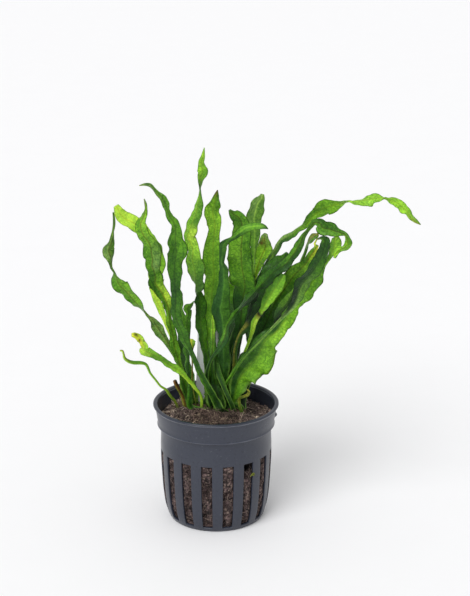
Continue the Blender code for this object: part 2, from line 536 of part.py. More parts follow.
def slid_to_depth(points):
    """Moves points from the drawing plane along the line of sight until their Y is their depth."""
    drawn = np.column_stack([points[:, 0], np.zeros(len(points)), points[:, 1]])
    share = (points[:, 2] - VIEWPOINT[1]) / (0 - VIEWPOINT[1])
    return VIEWPOINT + (drawn - VIEWPOINT) * share[:, None]


def foot_point(foot, row):
    """Where a stalk stands on the rhizome, a gap above its bark."""
    turn = radians(FOOT_ROWS[row])
    radius = RHIZOME_RADIUS + FOOT_GAP
    return rhizome_axis(foot) + radius * np.array([0, sin(turn), cos(turn)])


def slopes(knots, values):
    """Slope at each knot: the mean of the slopes on both sides, weighted by the nearer side."""
    step = np.diff(knots)[:, None]
    rise = np.diff(values, axis=0) / step
    middle = (rise[:-1] * step[1:] + rise[1:] * step[:-1]) / (step[:-1] + step[1:])
    return np.vstack([rise[:1], middle, rise[-1:]])


def smooth_through(knots, values, at):
    """A cubic through the knots, read at the given distances."""
    slope = slopes(knots, values)
    index = np.clip(np.searchsorted(knots, at, side="right") - 1, 0, len(knots) - 2)
    width = (knots[index + 1] - knots[index])[:, None]
    t = (at - knots[index])[:, None] / width
    return (
        (2 * t**3 - 3 * t**2 + 1) * values[index]
        + (t**3 - 2 * t**2 + t) * width * slope[index]
        + (3 * t**2 - 2 * t**3) * values[index + 1]
        + (t**3 - t**2) * width * slope[index + 1]
    )


def leaf_stations(route):
    """Points, half widths, turns and distances along a leaf, from its foot to its tip."""
    table = np.array(route.points, float)
    places = np.vstack([foot_point(route.foot, route.row), slid_to_depth(table)])
    halves = np.concatenate([[min(table[0, 3], STALK_THICKNESS / 2)], table[:, 3]])
    turns = np.concatenate([[table[0, 4]], table[:, 4]])
    knots = np.concatenate([[0], np.cumsum(np.linalg.norm(np.diff(places, axis=0), axis=1))])
    parts = [
        np.linspace(start, end, max(1, round((end - start) / STATION_PITCH)), endpoint=False)
        for start, end in zip(knots, knots[1:])
    ]
    at = np.concatenate(parts + [knots[-1:]])
    read = smooth_through(knots, np.column_stack([places, halves, turns]), at)
    return read[:, :3], np.clip(read[:, 3], 0.2, None), np.radians(read[:, 4]), at


def unit(vectors):
    return vectors / np.linalg.norm(vectors, axis=1, keepdims=True)


def leaf_frames(places, turns, at):
    """Across and upper-side directions: square to the leaf and to the line of sight, then turned."""
    along = unit(np.gradient(places, at, axis=0))
    across = unit(np.cross(places - VIEWPOINT, along))
    upper = np.cross(across, along)
    cosine = np.cos(turns)[:, None]
    sine = np.sin(turns)[:, None]
    return across * cosine + upper * sine, upper * cosine - across * sine


def leaf_loft(name, route):
    """A closed loft of four-cornered sections: two thin edges, and the midrib above and below."""
    places, halves, turns, at = leaf_stations(route)
    across, upper = leaf_frames(places, turns, at)
    blade = np.clip((halves - STALK_THICKNESS / 2) / STALK_THICKNESS, 0, 1)
    rib = np.minimum(halves, STALK_THICKNESS / 2 * (1 - blade) + BLADE_THICKNESS / 2 * blade)
    phase = 2 * pi * at / WAVE_LENGTH
    lifts = [halves * (EDGE_LIFT + WAVE_SHARE * np.sin(phase + shift)) * blade for shift in (0.0, 2.2)]
    left = places - across * halves[:, None] + upper * lifts[0][:, None]
    right = places + across * halves[:, None] + upper * lifts[1][:, None]
    sections = np.stack([left, places - upper * rib[:, None], right, places + upper * rib[:, None]], axis=1)
    bm = bmesh.new()
    rows = [[bm.verts.new(corner * MM) for corner in section] for section in sections]
    for row, following in zip(rows, rows[1:]):
        for index in range(4):
            after = (index + 1) % 4
            bm.faces.new((row[index], row[after], following[after], following[index]))
    bm.faces.new(rows[0][::-1])
    bm.faces.new(rows[-1])
    bmesh.ops.triangulate(bm, faces=bm.faces)
    bmesh.ops.recalc_face_normals(bm, faces=bm.faces)
    return mesh_from_bmesh(name, bm)


def make_leaves(collection):
    materials = {
        tint: plain_material("leaf " + tint, colour, 0.45)
        for tint, colour in LEAF_COLOURS.items()
    }
    for name, route in LEAF_ROUTES.items():
        mesh = leaf_loft(name, route)
        add_object(name, mesh, collection, materials[LEAF_TINTS.get(name, "mid")])
        shade_round(mesh, radians(50))


def main():
    clear_scene()
    parts = new_collection(OBJECT_NAME)
    cutters = new_collection("cutters")
    make_pot(parts)
    soil = make_soil(parts, plain_material("fibre soil", (0.055, 0.035, 0.022), 0.95))
    make_rhizome(parts, cutters, soil)
    make_label(parts, cutters, soil)
    make_leaves(parts)


main()
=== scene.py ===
"""The looks of a potted flaming java fern: wavy leaves, a rhizome in fibre soil, a net pot and a plain label.

It is laid out as an add-on and is run as a script. Lengths are metres where Blender reads them, and
millimetres inside the functions that work out surfaces.
"""

from collections import namedtuple
from itertools import product
from math import cos, pi, radians, sin, tau

import bpy
import numpy as np
from bpy.props import FloatProperty, FloatVectorProperty, IntProperty, PointerProperty
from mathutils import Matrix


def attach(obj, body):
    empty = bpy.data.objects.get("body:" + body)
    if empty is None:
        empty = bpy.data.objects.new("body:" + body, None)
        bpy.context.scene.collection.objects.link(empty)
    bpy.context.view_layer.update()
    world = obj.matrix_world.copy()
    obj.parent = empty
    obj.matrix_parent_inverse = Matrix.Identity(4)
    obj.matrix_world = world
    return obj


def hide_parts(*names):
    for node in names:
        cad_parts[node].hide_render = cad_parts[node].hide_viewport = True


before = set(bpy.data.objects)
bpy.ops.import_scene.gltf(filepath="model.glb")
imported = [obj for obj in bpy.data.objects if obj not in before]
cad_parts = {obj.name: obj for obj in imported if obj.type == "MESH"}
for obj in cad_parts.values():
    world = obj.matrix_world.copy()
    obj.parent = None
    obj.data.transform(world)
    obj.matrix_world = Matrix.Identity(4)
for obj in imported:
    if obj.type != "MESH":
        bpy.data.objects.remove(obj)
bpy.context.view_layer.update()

bl_info = {
    "name": "Potted flaming java fern",
    "version": (1, 0, 0),
    "blender": (4, 5, 0),
    "location": "View3D > Sidebar > Fern",
    "description": "Builds a potted java fern with wavy leaves in a slotted net pot",
    "category": "Object",
}

MM = 0.001

# The photograph's viewpoint in mm, its tilt in degrees, and its focal length and frame in pixels
VIEWPOINT = np.array([8.32, -650.9, 314.9])
VIEW_PITCH = 18.23
VIEW_FOCAL = 1600.0
FRAME_WIDTH, FRAME_HEIGHT = 470.0, 596.0

# A leaf's foot is where its stalk leaves the rhizome: mm across, and the angle of its row from upright
FOOT_ROWS = {1: -62.0, 2: -21.0, 3: 21.0, 4: 62.0}
RHIZOME_LEFT = np.array([-19.5, 3.5, 47.6])
RHIZOME_RIGHT = np.array([14.0, -4.0, 47.8])

# Distances of a stalk's first two points from the rhizome's middle line, in mm
ROOT_DEPTH, FOOT_HEIGHT = 1.5, 4.0

# A row of a leaf is evened where the rows before and after it are less than this apart, in mm
EVENED_WITHIN = 15.0

# The random draws of the leaves start from this seed and go on by this step
FIRST_SEED, SEED_STEP = 100, 7

# How steeply the side veins leave the midrib, and the mm between two of them
VEIN_SLANT = 0.8
VEIN_PITCH = 4.4

# Radius at which widths of the pot's slots are measured round the wall, in mm
WALL_RADIUS = 24.0

# A small nib on the collar: its height, its angle from +X and its size in mm and degrees
NIB_HEIGHT, NIB_ANGLE = 46.2, 3.0
NIB_HALF_HEIGHT, NIB_HALF_ANGLE, NIB_DEPTH = 1.0, 1.6, 1.5

# Painted highlights of the pot, pale bands along the rim's lip and along the step under the collar: height
# and half width (m), and how pale
HIGHLIGHT_BANDS = ((0.0519, 0.0003, 0.42), (0.0435, 0.00022, 0.2))

# Radius at which the soil's side measures the slots, and how far to the front its top has risen fully, in mm
SOIL_RADIUS, SOIL_FRONT = 23.5, 27.5

# Heights at which the soil meets the wall, where its side ends and where its base lies, in mm
SOIL_EDGE, SOIL_FOOT, SOIL_BASE = 47.1, 1.35, 1.2

# The ridge of fibre before the stalks, and the line that loose fibres crowd along: mm across and back
RIDGE_LEFT, RIDGE_RIGHT = np.array([-17.0, -5.0]), np.array([12.0, -12.5])
CROWD_LEFT, CROWD_RIGHT = np.array([-17.0, -6.0]), np.array([12.0, -14.5])

# The hollow in the soil behind a slot: its angle in degrees, its height in mm, and the middle of the painted
# shade in it, in m
HOLLOW_ANGLE, HOLLOW_HEIGHT = -49.3, 29.8
HOLLOW_SHADE_MIDDLE = (0.0138, -0.0160, 0.0300)

# The sprout below the hollow: its angle in degrees, and its height, distance from the axis and half thickness
SPROUT_ANGLE, SPROUT_HEIGHT, SPROUT_RADIUS, SPROUT_HALF_THICKNESS = -49.0, 25.6, 24.1, 0.34

# Points along a loose fibre, and the farthest that fibres and crumbs on the soil start from the axis (mm)
FIBRE_STATIONS = 6
FIBRE_REACH, FIBRE_LIMIT, CRUMB_REACH = 23.6, 23.9, 23.4

# The label's lean and turn in degrees, and its foot in mm
LABEL_LEAN, LABEL_TURN = -4.0, 2.0
LABEL_FOOT = np.array([-0.2, 14.0, 33.0])

# A leaf: its foot and row, the midrib's share of its width from the left, its material, its edges, shades and
# spots, and how often its line is evened.
# - edges: the left and the right edge as pixels of the photograph, from base to tip, and guessed where other
#   leaves hide the leaf. Where they change, a row also holds the depth (mm) and the turn about the midrib
#   (degrees).
# - shades: share of the length, tint of the left half, and tint of the right half where it differs. Besides
#   the leaf's own colour, the tints hold painted light and shade: paler where a part is lit, darker where it
#   lies in shade, and the darkest, near-black green is painted shade only.
# - spots: share of the length, mm from the midrib, radius (mm) and tint.
Leaf = namedtuple("Leaf", "foot row rib slot edges shades spots evened", defaults=((), 2))
LEAVES = {
    "leaf_far_left": Leaf(-14.2, 3, 0.45, "leaf_mid", (
        (180, 388.5, 183.5, 388.5, 3, 150), (180, 371, 183, 370), (175, 360, 178, 358),
        (168, 348.5, 170, 345.5, 4, 150), (163, 342, 169.3, 340), (158, 336, 167, 336),
        (153, 331, 165, 330.5), (150.5, 325.5, 161.5, 324.5, 3.5, 145), (148, 319.5, 157, 318.5),
        (144.5, 315, 150, 314.5, 3, 95), (141, 311.5, 146, 309.5), (136, 307, 143.5, 305),
        (130, 302, 140.5, 300.5, 2, 40), (127, 299, 136, 294.5), (120, 293, 131, 286.5),
        (113.5, 287, 125, 279.5, 0.5, 30), (113, 280, 120, 273.5), (112.5, 274.5, 116, 270.5),
        (110.5, 270, 114.2, 268, -1, 100), (108.5, 263, 114.5, 262), (105.5, 256.5, 115.3, 256, -2, 145),
        (102.7, 250, 114.8, 250), (106.5, 245, 114.6, 244, -3.5, 145), (110, 238, 114, 238),
        (112, 232.5, 113.6, 232, -4.5, 135), (113, 226, 115, 226), (113.2, 219, 115, 219),
        (112.7, 212.5, 113.8, 212.5, -6, 130),
    ), (
        (0, "olive"), (0.2, "olive", "fresh"), (0.27, "grey", "dull"), (0.46, "grey"), (0.5, "dull", "mid"),
        (0.55, "mid", "bright"), (0.7, "mid", "bright"), (0.735, "dark", "dull"), (0.8, "dull", "grey"),
        (0.9, "mid", "dull"), (1, "deep"),
    ), ((0.6, 1, 0.5, "olive"),)),
    "leaf_left_mid": Leaf(-11.4, 2, 0.45, "leaf_mid", (
        (183, 394, 192, 395, 1.5, -15), (180.5, 386, 189, 387), (179, 378, 186.5, 379),
        (178, 370, 184, 370, 1, -20), (176, 363, 182, 363.5), (173.5, 357, 181, 357),
        (170.5, 350, 180, 350.5), (169, 343, 178.5, 343.5), (169.5, 336, 177, 336, -0.5, -28),
        (167.5, 329, 175, 329.5), (165.7, 321, 173, 321), (166.5, 315, 171, 315),
        (165, 310, 171.5, 310, -2, -35), (162, 305, 173, 305), (159.5, 299.5, 171.5, 301),
        (157, 295, 170, 296), (153, 290, 168, 292), (146.2, 287.8, 166, 288),
        (148, 283, 164, 284, -4.5, -27), (149.5, 277, 163, 277), (148.5, 271, 160, 271, -5, -10),
        (144.2, 265, 160.5, 266), (146, 259, 161.5, 260, -5, 20), (143.2, 254, 162, 253),
        (143.2, 246, 161, 246), (140.8, 239.5, 158, 238.5, -5.5, 28), (137.5, 234.5, 150, 235.5),
        (135, 228, 148, 229), (136, 221.5, 147.3, 224, -7.5, 30), (139.5, 218.8, 147, 219),
        (142.5, 214.5, 147.8, 214), (145, 209, 147.2, 209), (144.3, 203, 146.8, 203),
        (143.8, 199, 144.6, 199, -12, 30),
    ), (
        (0, "shaded", "dark"), (0.13, "deep", "mid"), (0.24, "mid", "bright"), (0.46, "bright", "mid"),
        (0.52, "mid", "lime"), (0.6, "deep", "fresh"), (0.64, "deep", "mid"), (0.67, "mid", "grey"),
        (0.76, "mid", "dull"), (0.8, "bright"), (0.87, "bright", "fresh"), (0.95, "mid", "bright"),
        (1, "olive", "grey"),
    )),
    "leaf_left_lime": Leaf(-11.6, 4, 0.5, "leaf_lime", (
        (182, 385.5, 185.5, 385, 5.5, 20), (176, 362, 179.5, 361, 6, 25), (175, 350, 178, 349),
        (169, 335, 172, 334, 7, 30), (163, 321, 166.5, 321), (159.5, 314, 166, 315), (157, 309, 165, 310),
        (153.5, 302, 162, 304, 9, 26), (150.8, 294, 159, 296), (149.5, 285, 158, 286),
        (148, 276, 160, 277, 9, 5), (148, 270, 163, 273), (149, 262, 165.8, 264),
        (148, 252, 163.5, 252, 10, -24), (144, 243, 157, 240), (141, 236, 149, 228),
        (136.5, 233, 141, 219.5, 10, -15), (132, 231, 137, 217.5), (128.5, 227.5, 133.5, 214.3),
        (123.5, 227.3, 128.5, 213, 9.5, -13), (119, 221.8, 124.5, 209.8),
        (115.7, 218.5, 120.5, 205.5, 8.5, -5), (113.8, 212.5, 117, 203.6), (114.3, 208, 115.2, 204.8, 8, 0),
    ), (
        (0, "fresh"), (0.3, "fresh", "lime"), (0.4, "lime"), (0.58, "lime"), (0.66, "fresh"),
        (0.8, "bright", "fresh"), (0.84, "fresh", "lime"), (0.9, "lime"), (1, "lime"),
    )),
    "leaf_left_back": Leaf(-8.2, 4, 0.5, "leaf_dark", (
        (184, 404, 200, 404, 5.5, 30), (184, 392, 199, 392), (183, 380, 196, 380, 6, 30),
        (182, 368, 192, 368), (180, 356, 190, 355, 9.5, 30), (178, 343, 188, 342), (177, 330, 187, 329),
        (175, 315, 185, 314), (173, 300, 183, 299, 17.5, 35), (171, 285, 181, 284), (170, 268, 180, 268),
        (169.5, 255, 179, 255, 23.5, 33), (171, 240, 176, 240), (172, 232, 173, 232, 26, 30),
    ), (
        (0, "deep", "dark"), (0.4, "dark", "deep"), (0.7, "deep", "mid"), (1, "mid"),
    )),
    "leaf_front_dark": Leaf(4.4, 1, 0.45, "leaf_dark", (
        (216, 411, 226.5, 411, -8.5, 0), (212.5, 403, 221.5, 403, -8.5, 0), (208.5, 395.5, 217, 395.5),
        (204, 387, 212.5, 387.5), (199, 377.5, 206.5, 378.5), (195, 368.5, 201.5, 368.5, -12.5, 10),
        (192.5, 361, 197.5, 360), (190, 355, 194.5, 353), (187.5, 349.5, 191.8, 347.5),
        (183, 345, 190.5, 343), (180, 341, 190, 338, -16, 20), (177.5, 333.5, 188.5, 332),
        (175.5, 327, 185, 327), (172, 319.5, 182.5, 319.5, -17.5, 25), (170.5, 312, 181, 312),
        (172, 305, 181, 305), (171, 299, 182.2, 299, -18, 20), (170.8, 293, 182.6, 293.5),
        (171, 287, 179.6, 288, -18, 10), (170, 280.5, 180.5, 281), (167.6, 274, 182.6, 274),
        (167.3, 266, 182.6, 266, -18, -15), (168, 259.5, 183.5, 259), (166.8, 253, 187.5, 252.5),
        (167, 247, 186.5, 247, -18, -25), (168.4, 239, 183, 238.5), (170.8, 230.5, 181.3, 230.5),
        (170.8, 225, 179.5, 223, -19, -20), (166.5, 218, 173, 215.5), (165, 211, 169.5, 209.5, -20, -20),
        (161.5, 205, 169, 202), (160, 200, 165.5, 196), (156, 195, 160, 192.4),
        (153, 190, 155.5, 188.5, -23.5, -20), (148.5, 186.3, 151, 183.3), (143, 185.6, 144, 183.3),
        (139, 186, 139.5, 185.2, -27, -20),
    ), (
        (0, "shaded"), (0.2, "deep", "dark"), (0.42, "deep"), (0.5, "dark", "deep"), (0.57, "dark"),
        (0.63, "deep"), (0.7, "deep", "mid"), (0.79, "mid"), (0.85, "mid"), (0.93, "dull", "mid"),
        (0.985, "grey", "dull"), (1, "olive", "grey"),
    )),
    "leaf_small_dark": Leaf(-2.9, 1, 0.5, "leaf_dark", (
        (186.5, 405, 192.5, 405, -7, 0), (186.5, 396, 193, 396), (187.5, 388, 192.5, 388),
        (188, 382, 191, 382, -8, 0), (186.5, 372, 189.5, 372.5), (184, 364, 188.5, 364.5),
        (186, 359.5, 189.8, 359.5, -9, 10), (183, 351, 189.5, 352), (184, 343, 189.5, 343.5),
        (185, 336, 190.3, 336, -10, 20), (183.5, 327, 190.5, 327.5), (183, 319, 191.3, 320, -10.5, 20),
        (186.5, 313, 191.5, 314.5), (182, 307.5, 192, 309), (190, 304, 193, 305),
        (193.6, 301, 194.3, 301, -11, 10),
    ), (
        (0, "deep", "dark"), (0.5, "deep", "dark"), (0.85, "mid", "deep"), (1, "mid", "deep"),
    )),
    "leaf_curled_lime": Leaf(-6.3, 1, 0.5, "leaf_lime", (
        (198.5, 394.5, 200.5, 392, -6.5, 0), (194, 389.5, 196.5, 387), (189, 384, 192.5, 381.5, -8, 10),
        (184.5, 378.5, 188, 376.5), (180, 374.5, 184.5, 371.5), (174.5, 371.5, 179.5, 366, -12.5, 27),
        (169, 368, 172.5, 362.8), (163, 363.5, 166, 358.5, -15.5, 30), (156.5, 359.8, 159.5, 354.2),
        (151, 357.2, 154, 350, -18.5, 25), (147.5, 356.8, 149.5, 348.2),
        (140.5, 355.3, 147.8, 346.5, -20.5, 10), (141.5, 350, 148, 343), (139.5, 345, 145, 341.8, -22, -20),
        (137.5, 340.5, 143.6, 338.5), (134.5, 339.3, 142, 334, -23.5, -35), (131.3, 336.5, 136, 332.8),
        (131, 336.3, 133, 333.6, -24.5, -40),
    ), (
        (0, "fresh", "lime"), (0.3, "lime", "fresh"), (0.5, "fresh"), (0.62, "bright", "mid"),
        (0.74, "mid", "bright"), (0.82, "lime", "fresh"), (0.92, "yellow", "lime"), (1, "yellow"),
    ), ((0.97, 0.5, 0.9, "black"), (0.93, -0.8, 0.7, "brown"), (0.9, 1, 0.5, "black"))),
    "shoot_curly_left": Leaf(-16.4, 1, 0.5, "leaf_lime", (
        (174, 402, 176, 400.5, -3.5, 0), (169, 396.5, 171.5, 395), (164.5, 390, 166.5, 388.5, -7.5, 0),
        (160, 387, 161.5, 385.5), (155.5, 381.5, 157, 380), (149.5, 374, 151.5, 373, -11.5, 0),
        (143.5, 364.5, 145.5, 362.5), (139.5, 364.5, 140, 361, -13.5, 20), (135, 364.5, 135.5, 361),
        (128.5, 363, 130, 360, -15, 20), (123.5, 359, 126, 357.5, -16, 0), (122.5, 354, 124.5, 353.5),
        (121.5, 351.5, 123, 350), (120, 351.5, 120, 350, -17.5, 0),
    ), (
        (0, "olive"), (0.5, "fresh", "bright"), (0.8, "bright", "mid"), (1, "lime", "olive"),
    ), evened=0),
    "stub_brown_left": Leaf(-13.2, 1, 0.5, "leaf_brown", (
        (179, 393.5, 182, 392, -3, 0), (175, 387, 179, 385.5), (173, 381.5, 176.5, 380, -6, 0),
    ), (
        (0, "olive"), (0.6, "olive", "brown"), (1, "brown", "black"),
    ), evened=0),
    "leaf_small_yellow": Leaf(-8.8, 2, 0.5, "leaf_lime", (
        (191.5, 384, 193, 384, 1, 0), (191.5, 372, 193, 372), (191.5, 360, 193, 360, 2, 0),
        (191, 352, 192.5, 352), (190.5, 345.3, 194.5, 345, 2, 15), (189, 342, 195.8, 342),
        (188.3, 339.3, 196.5, 339.3, 1, 30),
    ), (
        (0, "deep", "olive"), (0.7, "olive", "brown"), (1, "yellow", "fresh"),
    ), ((0.85, 0.3, 1, "brown"),)),
    "leaf_tall_centre": Leaf(-0.6, 2, 0.45, "leaf_bright", (
        (207, 404, 222, 404, -3, -10), (205, 392, 219, 392), (204.5, 381, 216, 381),
        (204, 370, 213.5, 370, -3.5, -15), (203, 361, 211, 360), (202, 351, 208.5, 350.5, -4.5, -27),
        (198.8, 341, 207.5, 340), (197, 331, 206.5, 329, -6, -35), (194.3, 320, 206, 318),
        (195, 309, 205.3, 308, -7, -37), (194.6, 301, 205, 299, -7.5, -45),
        (192, 296.5, 203.5, 291, -8, -70), (194.5, 292.3, 198.5, 290, -8, -95),
        (192.8, 286.5, 201.3, 286.5, -8.5, -120), (190.5, 279.5, 202.4, 280, -8.5, -140),
        (188.5, 273.5, 203.6, 274.5), (186.5, 268.5, 204.6, 269.5), (185.2, 263, 203.5, 264, -9, -155),
        (185.7, 257, 200.9, 259), (187.8, 252, 200.7, 253), (187, 247, 200, 247, -9, -155),
        (184.2, 241, 197.5, 241), (183, 236, 193, 236), (184.5, 231, 195.8, 233, -9, -150),
        (184.8, 225, 198.3, 226), (188.5, 221, 200.3, 220.5, -8.5, -150), (191.5, 212, 202, 213, -8, -147),
        (194.8, 204, 202, 204.5, -8, -135), (198, 196, 202.5, 195.5), (198.5, 189, 202.3, 189, -7, -95),
        (198.4, 184, 201.6, 183.8, -6.5, -62), (197.7, 180.5, 202.5, 181, -6, -43),
        (197, 177, 204.7, 177.3, -6, -30), (198, 172, 207.7, 171.8), (198, 167, 205.7, 167.5),
        (197.6, 162, 204.6, 162, -6, -20), (200.5, 157, 205, 157), (202.7, 151, 204.9, 151),
        (204, 147.5, 204.6, 147.7, -6, -20),
    ), (
        (0, "shaded"), (0.2, "dark", "deep"), (0.3, "deep", "mid"), (0.4, "dark", "deep"),
        (0.49, "dark", "deep"), (0.53, "deep", "dull"), (0.57, "mid", "bright"), (0.63, "fresh"),
        (0.69, "lime", "fresh"), (0.74, "mid", "bright"), (0.83, "mid", "bright"), (0.86, "deep", "mid"),
        (0.92, "fresh", "bright"), (1, "fresh"),
    ), ((0.7, 2.5, 0.8, "olive"),)),
    "leaf_tall_bright": Leaf(8.3, 1, 0.55, "leaf_bright", (
        (229, 405, 234, 404, -8.5, 0), (225.5, 397, 230.5, 396, -8.5, 0), (221.5, 388, 227, 387.5),
        (217.5, 378, 223.5, 378), (213.5, 368, 220.5, 368, -6, 10), (210, 357, 218, 357),
        (207.5, 345, 216.5, 346), (206, 333, 216, 335, -2.5, 25), (205.8, 323, 216, 324),
        (205.3, 313, 216, 313), (204.5, 303, 217, 303, -0.5, 25), (204, 293, 219, 293),
        (204.6, 283, 221, 283, 0.5, 18), (205.2, 272, 222, 272), (202.5, 262, 222, 262, 1.5, 10),
        (202.8, 254, 221.5, 252), (204, 246, 220.5, 244, 2, 0), (206, 238, 219.8, 237.5),
        (208.4, 230.5, 219.8, 231), (207.3, 225, 221.2, 225, 2, -13), (204.5, 218, 220.7, 218),
        (203.6, 211.5, 219.8, 211, 1.5, -20), (206, 204.5, 220.2, 204), (212, 196.5, 219, 197),
        (217.2, 190, 218, 190.3, -1, -20),
    ), (
        (0, "shaded"), (0.3, "dark", "deep"), (0.4, "bright", "mid"), (0.55, "bright", "mid"),
        (0.75, "bright"), (0.86, "fresh"), (0.96, "bright", "mid"), (1, "brown", "deep"),
    )),
    "leaf_small_centre": Leaf(0.2, 1, 0.5, "leaf_mid", (
        (213, 406, 227, 406, -5.5, 0), (211, 395, 224, 395), (210.5, 385, 220, 385, -5.5, 0),
        (212, 375, 215, 375), (211, 365, 214.5, 365, -9, 0), (209.5, 355, 214.5, 355),
        (210, 346, 215, 346.5, -9.5, 0), (210.5, 337, 215, 337), (210.3, 328, 215.3, 328),
        (210.8, 320, 214.2, 319.5), (212, 315.5, 212.8, 315.5, -13, 0),
    ), (
        (0, "shaded"), (0.6, "dark", "deep"), (0.72, "mid"), (0.9, "bright", "fresh"), (1, "bright", "fresh"),
    )),
    "leaf_arched_blue": Leaf(4.9, 2, 0.5, "leaf_blue", (
        (221, 408, 238, 408, -3, 0), (219, 398, 236, 398), (222, 390, 230, 390, -3, 0),
        (219, 380, 228.5, 380), (217.5, 370, 229.5, 370, -4.5, -5), (216, 360, 231, 359),
        (216.5, 350, 230, 349, -6.5, -14), (218, 340, 228.5, 340), (217.3, 332, 229, 332, -8.5, -20),
        (215.8, 324.5, 229.5, 325), (213.5, 316.5, 229.7, 317), (209.8, 309.5, 229.7, 309, -10, -20),
        (213.5, 301, 229.8, 300), (216, 292, 229.8, 292, -11, -10), (218, 285, 229.5, 284),
        (219, 276, 228.5, 276, -11, 5), (219.2, 268, 228, 268), (219.4, 262, 224.2, 263),
        (219.5, 256, 224.8, 258.5, -11, 25), (219.5, 248, 226.7, 252.5),
        (220.5, 241.8, 227.3, 247, -11.5, 37), (225.5, 239.6, 228, 243.7),
        (230.5, 237.2, 231.5, 241, -12, 40), (235.5, 232.7, 236.5, 239), (240, 228, 241.5, 236, -13.5, 27),
        (244.5, 224.3, 245.5, 233), (250, 222.9, 250.3, 231, -14.5, 20), (256, 222.7, 256, 230),
        (262, 223.3, 262, 229.4), (266, 225.5, 266.5, 228.8), (268, 229.3, 268.2, 228.6, -17, 20),
    ), (
        (0, "shaded", "dark"), (0.2, "dark"), (0.42, "blue", "deep"), (0.6, "blue", "deep"), (0.72, "dark"),
        (0.8, "dark", "deep"), (0.86, "mid", "dark"), (0.92, "mid"), (0.97, "mid"), (1, "shaded", "dark"),
    )),
    "leaf_fork_right": Leaf(-3.2, 2, 0.5, "leaf_mid", (
        (204, 385, 209.5, 385.5, -4, 0), (206, 367, 209, 366, -8.5, 10), (211, 357, 214, 357.5),
        (216, 349, 221, 350.5), (219, 341, 227, 343.5, -15, 25), (222.5, 333, 229.8, 334, -16, 30),
        (226.5, 324, 229.8, 324), (229.5, 319, 232.5, 322, -16.5, 54), (234, 312, 238.5, 315.5),
        (240, 303, 246, 308, -16, 70), (246, 296, 254, 301, -16, 70), (254, 286, 263, 291),
        (262, 277, 273, 282, -16, 53), (270, 268, 280, 275), (277.5, 264.5, 286, 270, -16, 40),
        (283.5, 260.5, 291.5, 266), (287.5, 256, 293.5, 261.5, -16.5, 30), (290.5, 250, 298, 257.3),
        (294.5, 244.3, 301.5, 251.5), (298.5, 239, 304.7, 244, -17.5, 18), (301.5, 234.5, 305.5, 238),
        (306, 230, 308, 233), (310, 224, 311.5, 228.5, -19, 0), (315.5, 217.5, 315.5, 225.2),
        (320, 218, 318, 227.5), (325.5, 220.7, 319.5, 234.5, -21, -14), (332.5, 222.8, 325, 234.7),
        (338, 226.3, 331, 236.3), (343.5, 231, 338, 235.6, -23, -10),
        (348.5, 234.3, 344.5, 235.2, -23.5, -20), (350.5, 239, 346, 238),
        (351.8, 245, 344.5, 241.5, -25, -50), (348.5, 250, 341.5, 245.3, -26.5, -60),
        (343, 252.3, 337.5, 247.5, -27.5, -55), (338, 255.3, 334.3, 252.5),
        (334.6, 259, 334.2, 257, -29, -40),
    ), (
        (0, "shaded"), (0.28, "blue"), (0.34, "mid", "dark"), (0.45, "dark", "shaded"), (0.52, "deep", "shaded"),
        (0.6, "dark"), (0.68, "mid", "dark"), (0.76, "deep"), (0.82, "deep", "mid"), (0.88, "deep", "mid"),
        (0.92, "mid", "bright"), (1, "fresh"),
    )),
    "leaf_broad_centre": Leaf(3.4, 3, 0.56, "leaf_mid", (
        (223.5, 384.5, 229, 386, 1.5, 0), (231, 360, 236, 360, 2.5, 0), (233, 347, 239, 346),
        (234, 335, 242, 334, 2, 10), (235, 325, 244.5, 324), (235, 315, 247, 314, 0.5, 15),
        (234, 305, 249, 305), (233, 296, 252, 296, 0, 20), (233, 289, 255, 288, -1, 20),
        (231, 282, 255.5, 280), (229, 274, 254.5, 274, -2, 16), (228.3, 266, 252.8, 266),
        (228, 257, 252, 258), (228, 248, 251.5, 250, -3.5, 8), (229.5, 241, 251.3, 242),
        (231.8, 235, 251, 235), (232.5, 228, 250.5, 228, -5, 0), (232, 222, 249, 221),
        (229, 217.3, 246, 215.3), (228.4, 214, 240, 212, -7, -10), (228.8, 210.5, 230, 209.2, -7, -10),
    ), (
        (0, "shaded"), (0.35, "dark"), (0.55, "dark", "deep"), (0.64, "mid"), (0.8, "bright", "mid"),
        (0.9, "mid"), (0.96, "deep", "mid"), (1, "deep"),
    )),
    "leaf_round_tip": Leaf(4.2, 4, 0.5, "leaf_blue", (
        (229.5, 385, 234.5, 385.5, 5.5, 0), (233, 360, 238, 361, 6.5, 0), (251, 270, 255.5, 270, 9, -10),
        (250.5, 260, 256, 260, 14.5, -25), (250.3, 250, 257.5, 250), (250, 240, 258.8, 239),
        (248.5, 231, 260.3, 231.5, 18, -25), (247, 223, 260.6, 225), (246.5, 216, 261, 219.5),
        (247.6, 210, 262.7, 213), (249.5, 204, 264, 207.5), (252.5, 199.5, 265.3, 202),
        (257.5, 196.3, 265.3, 198), (261, 194, 263.5, 194, 20.5, -25),
    ), (
        (0, "shaded"), (0.5, "dark", "blue"), (0.7, "mid", "dull"), (0.84, "dull"), (1, "grey", "dull"),
    )),
    "leaf_spotted_tip": Leaf(1.5, 4, 0.5, "leaf_mid", (
        (225, 385, 230, 385.5, 5.5, 0), (228.5, 360, 233, 361, 6, 0), (255.3, 278.5, 256.5, 278, 6.5, 0),
        (254.5, 274, 258.5, 274, 7, 20), (253.8, 268, 262, 268, 7, 25), (253.8, 261, 266.5, 261),
        (255.5, 254, 270.5, 254), (257.8, 246.5, 273, 249.5, 6, 25), (259, 241.5, 272.2, 244.5),
        (260.3, 237.3, 270, 238.5), (264, 234, 267.5, 234, 4, 25),
    ), (
        (0, "shaded"), (0.6, "deep", "mid"), (0.72, "fresh"), (0.9, "fresh"), (1, "grey"),
    ), ((0.945, -1.6, 1.1, "brown"), (0.965, -0.8, 0.8, "olive"))),
    "leaf_long_right": Leaf(0.6, 3, 0.5, "leaf_bright", (
        (218.5, 384.5, 224.5, 385.5, 2.5, 0), (223.5, 359.5, 229, 361.5, 3.5, 0),
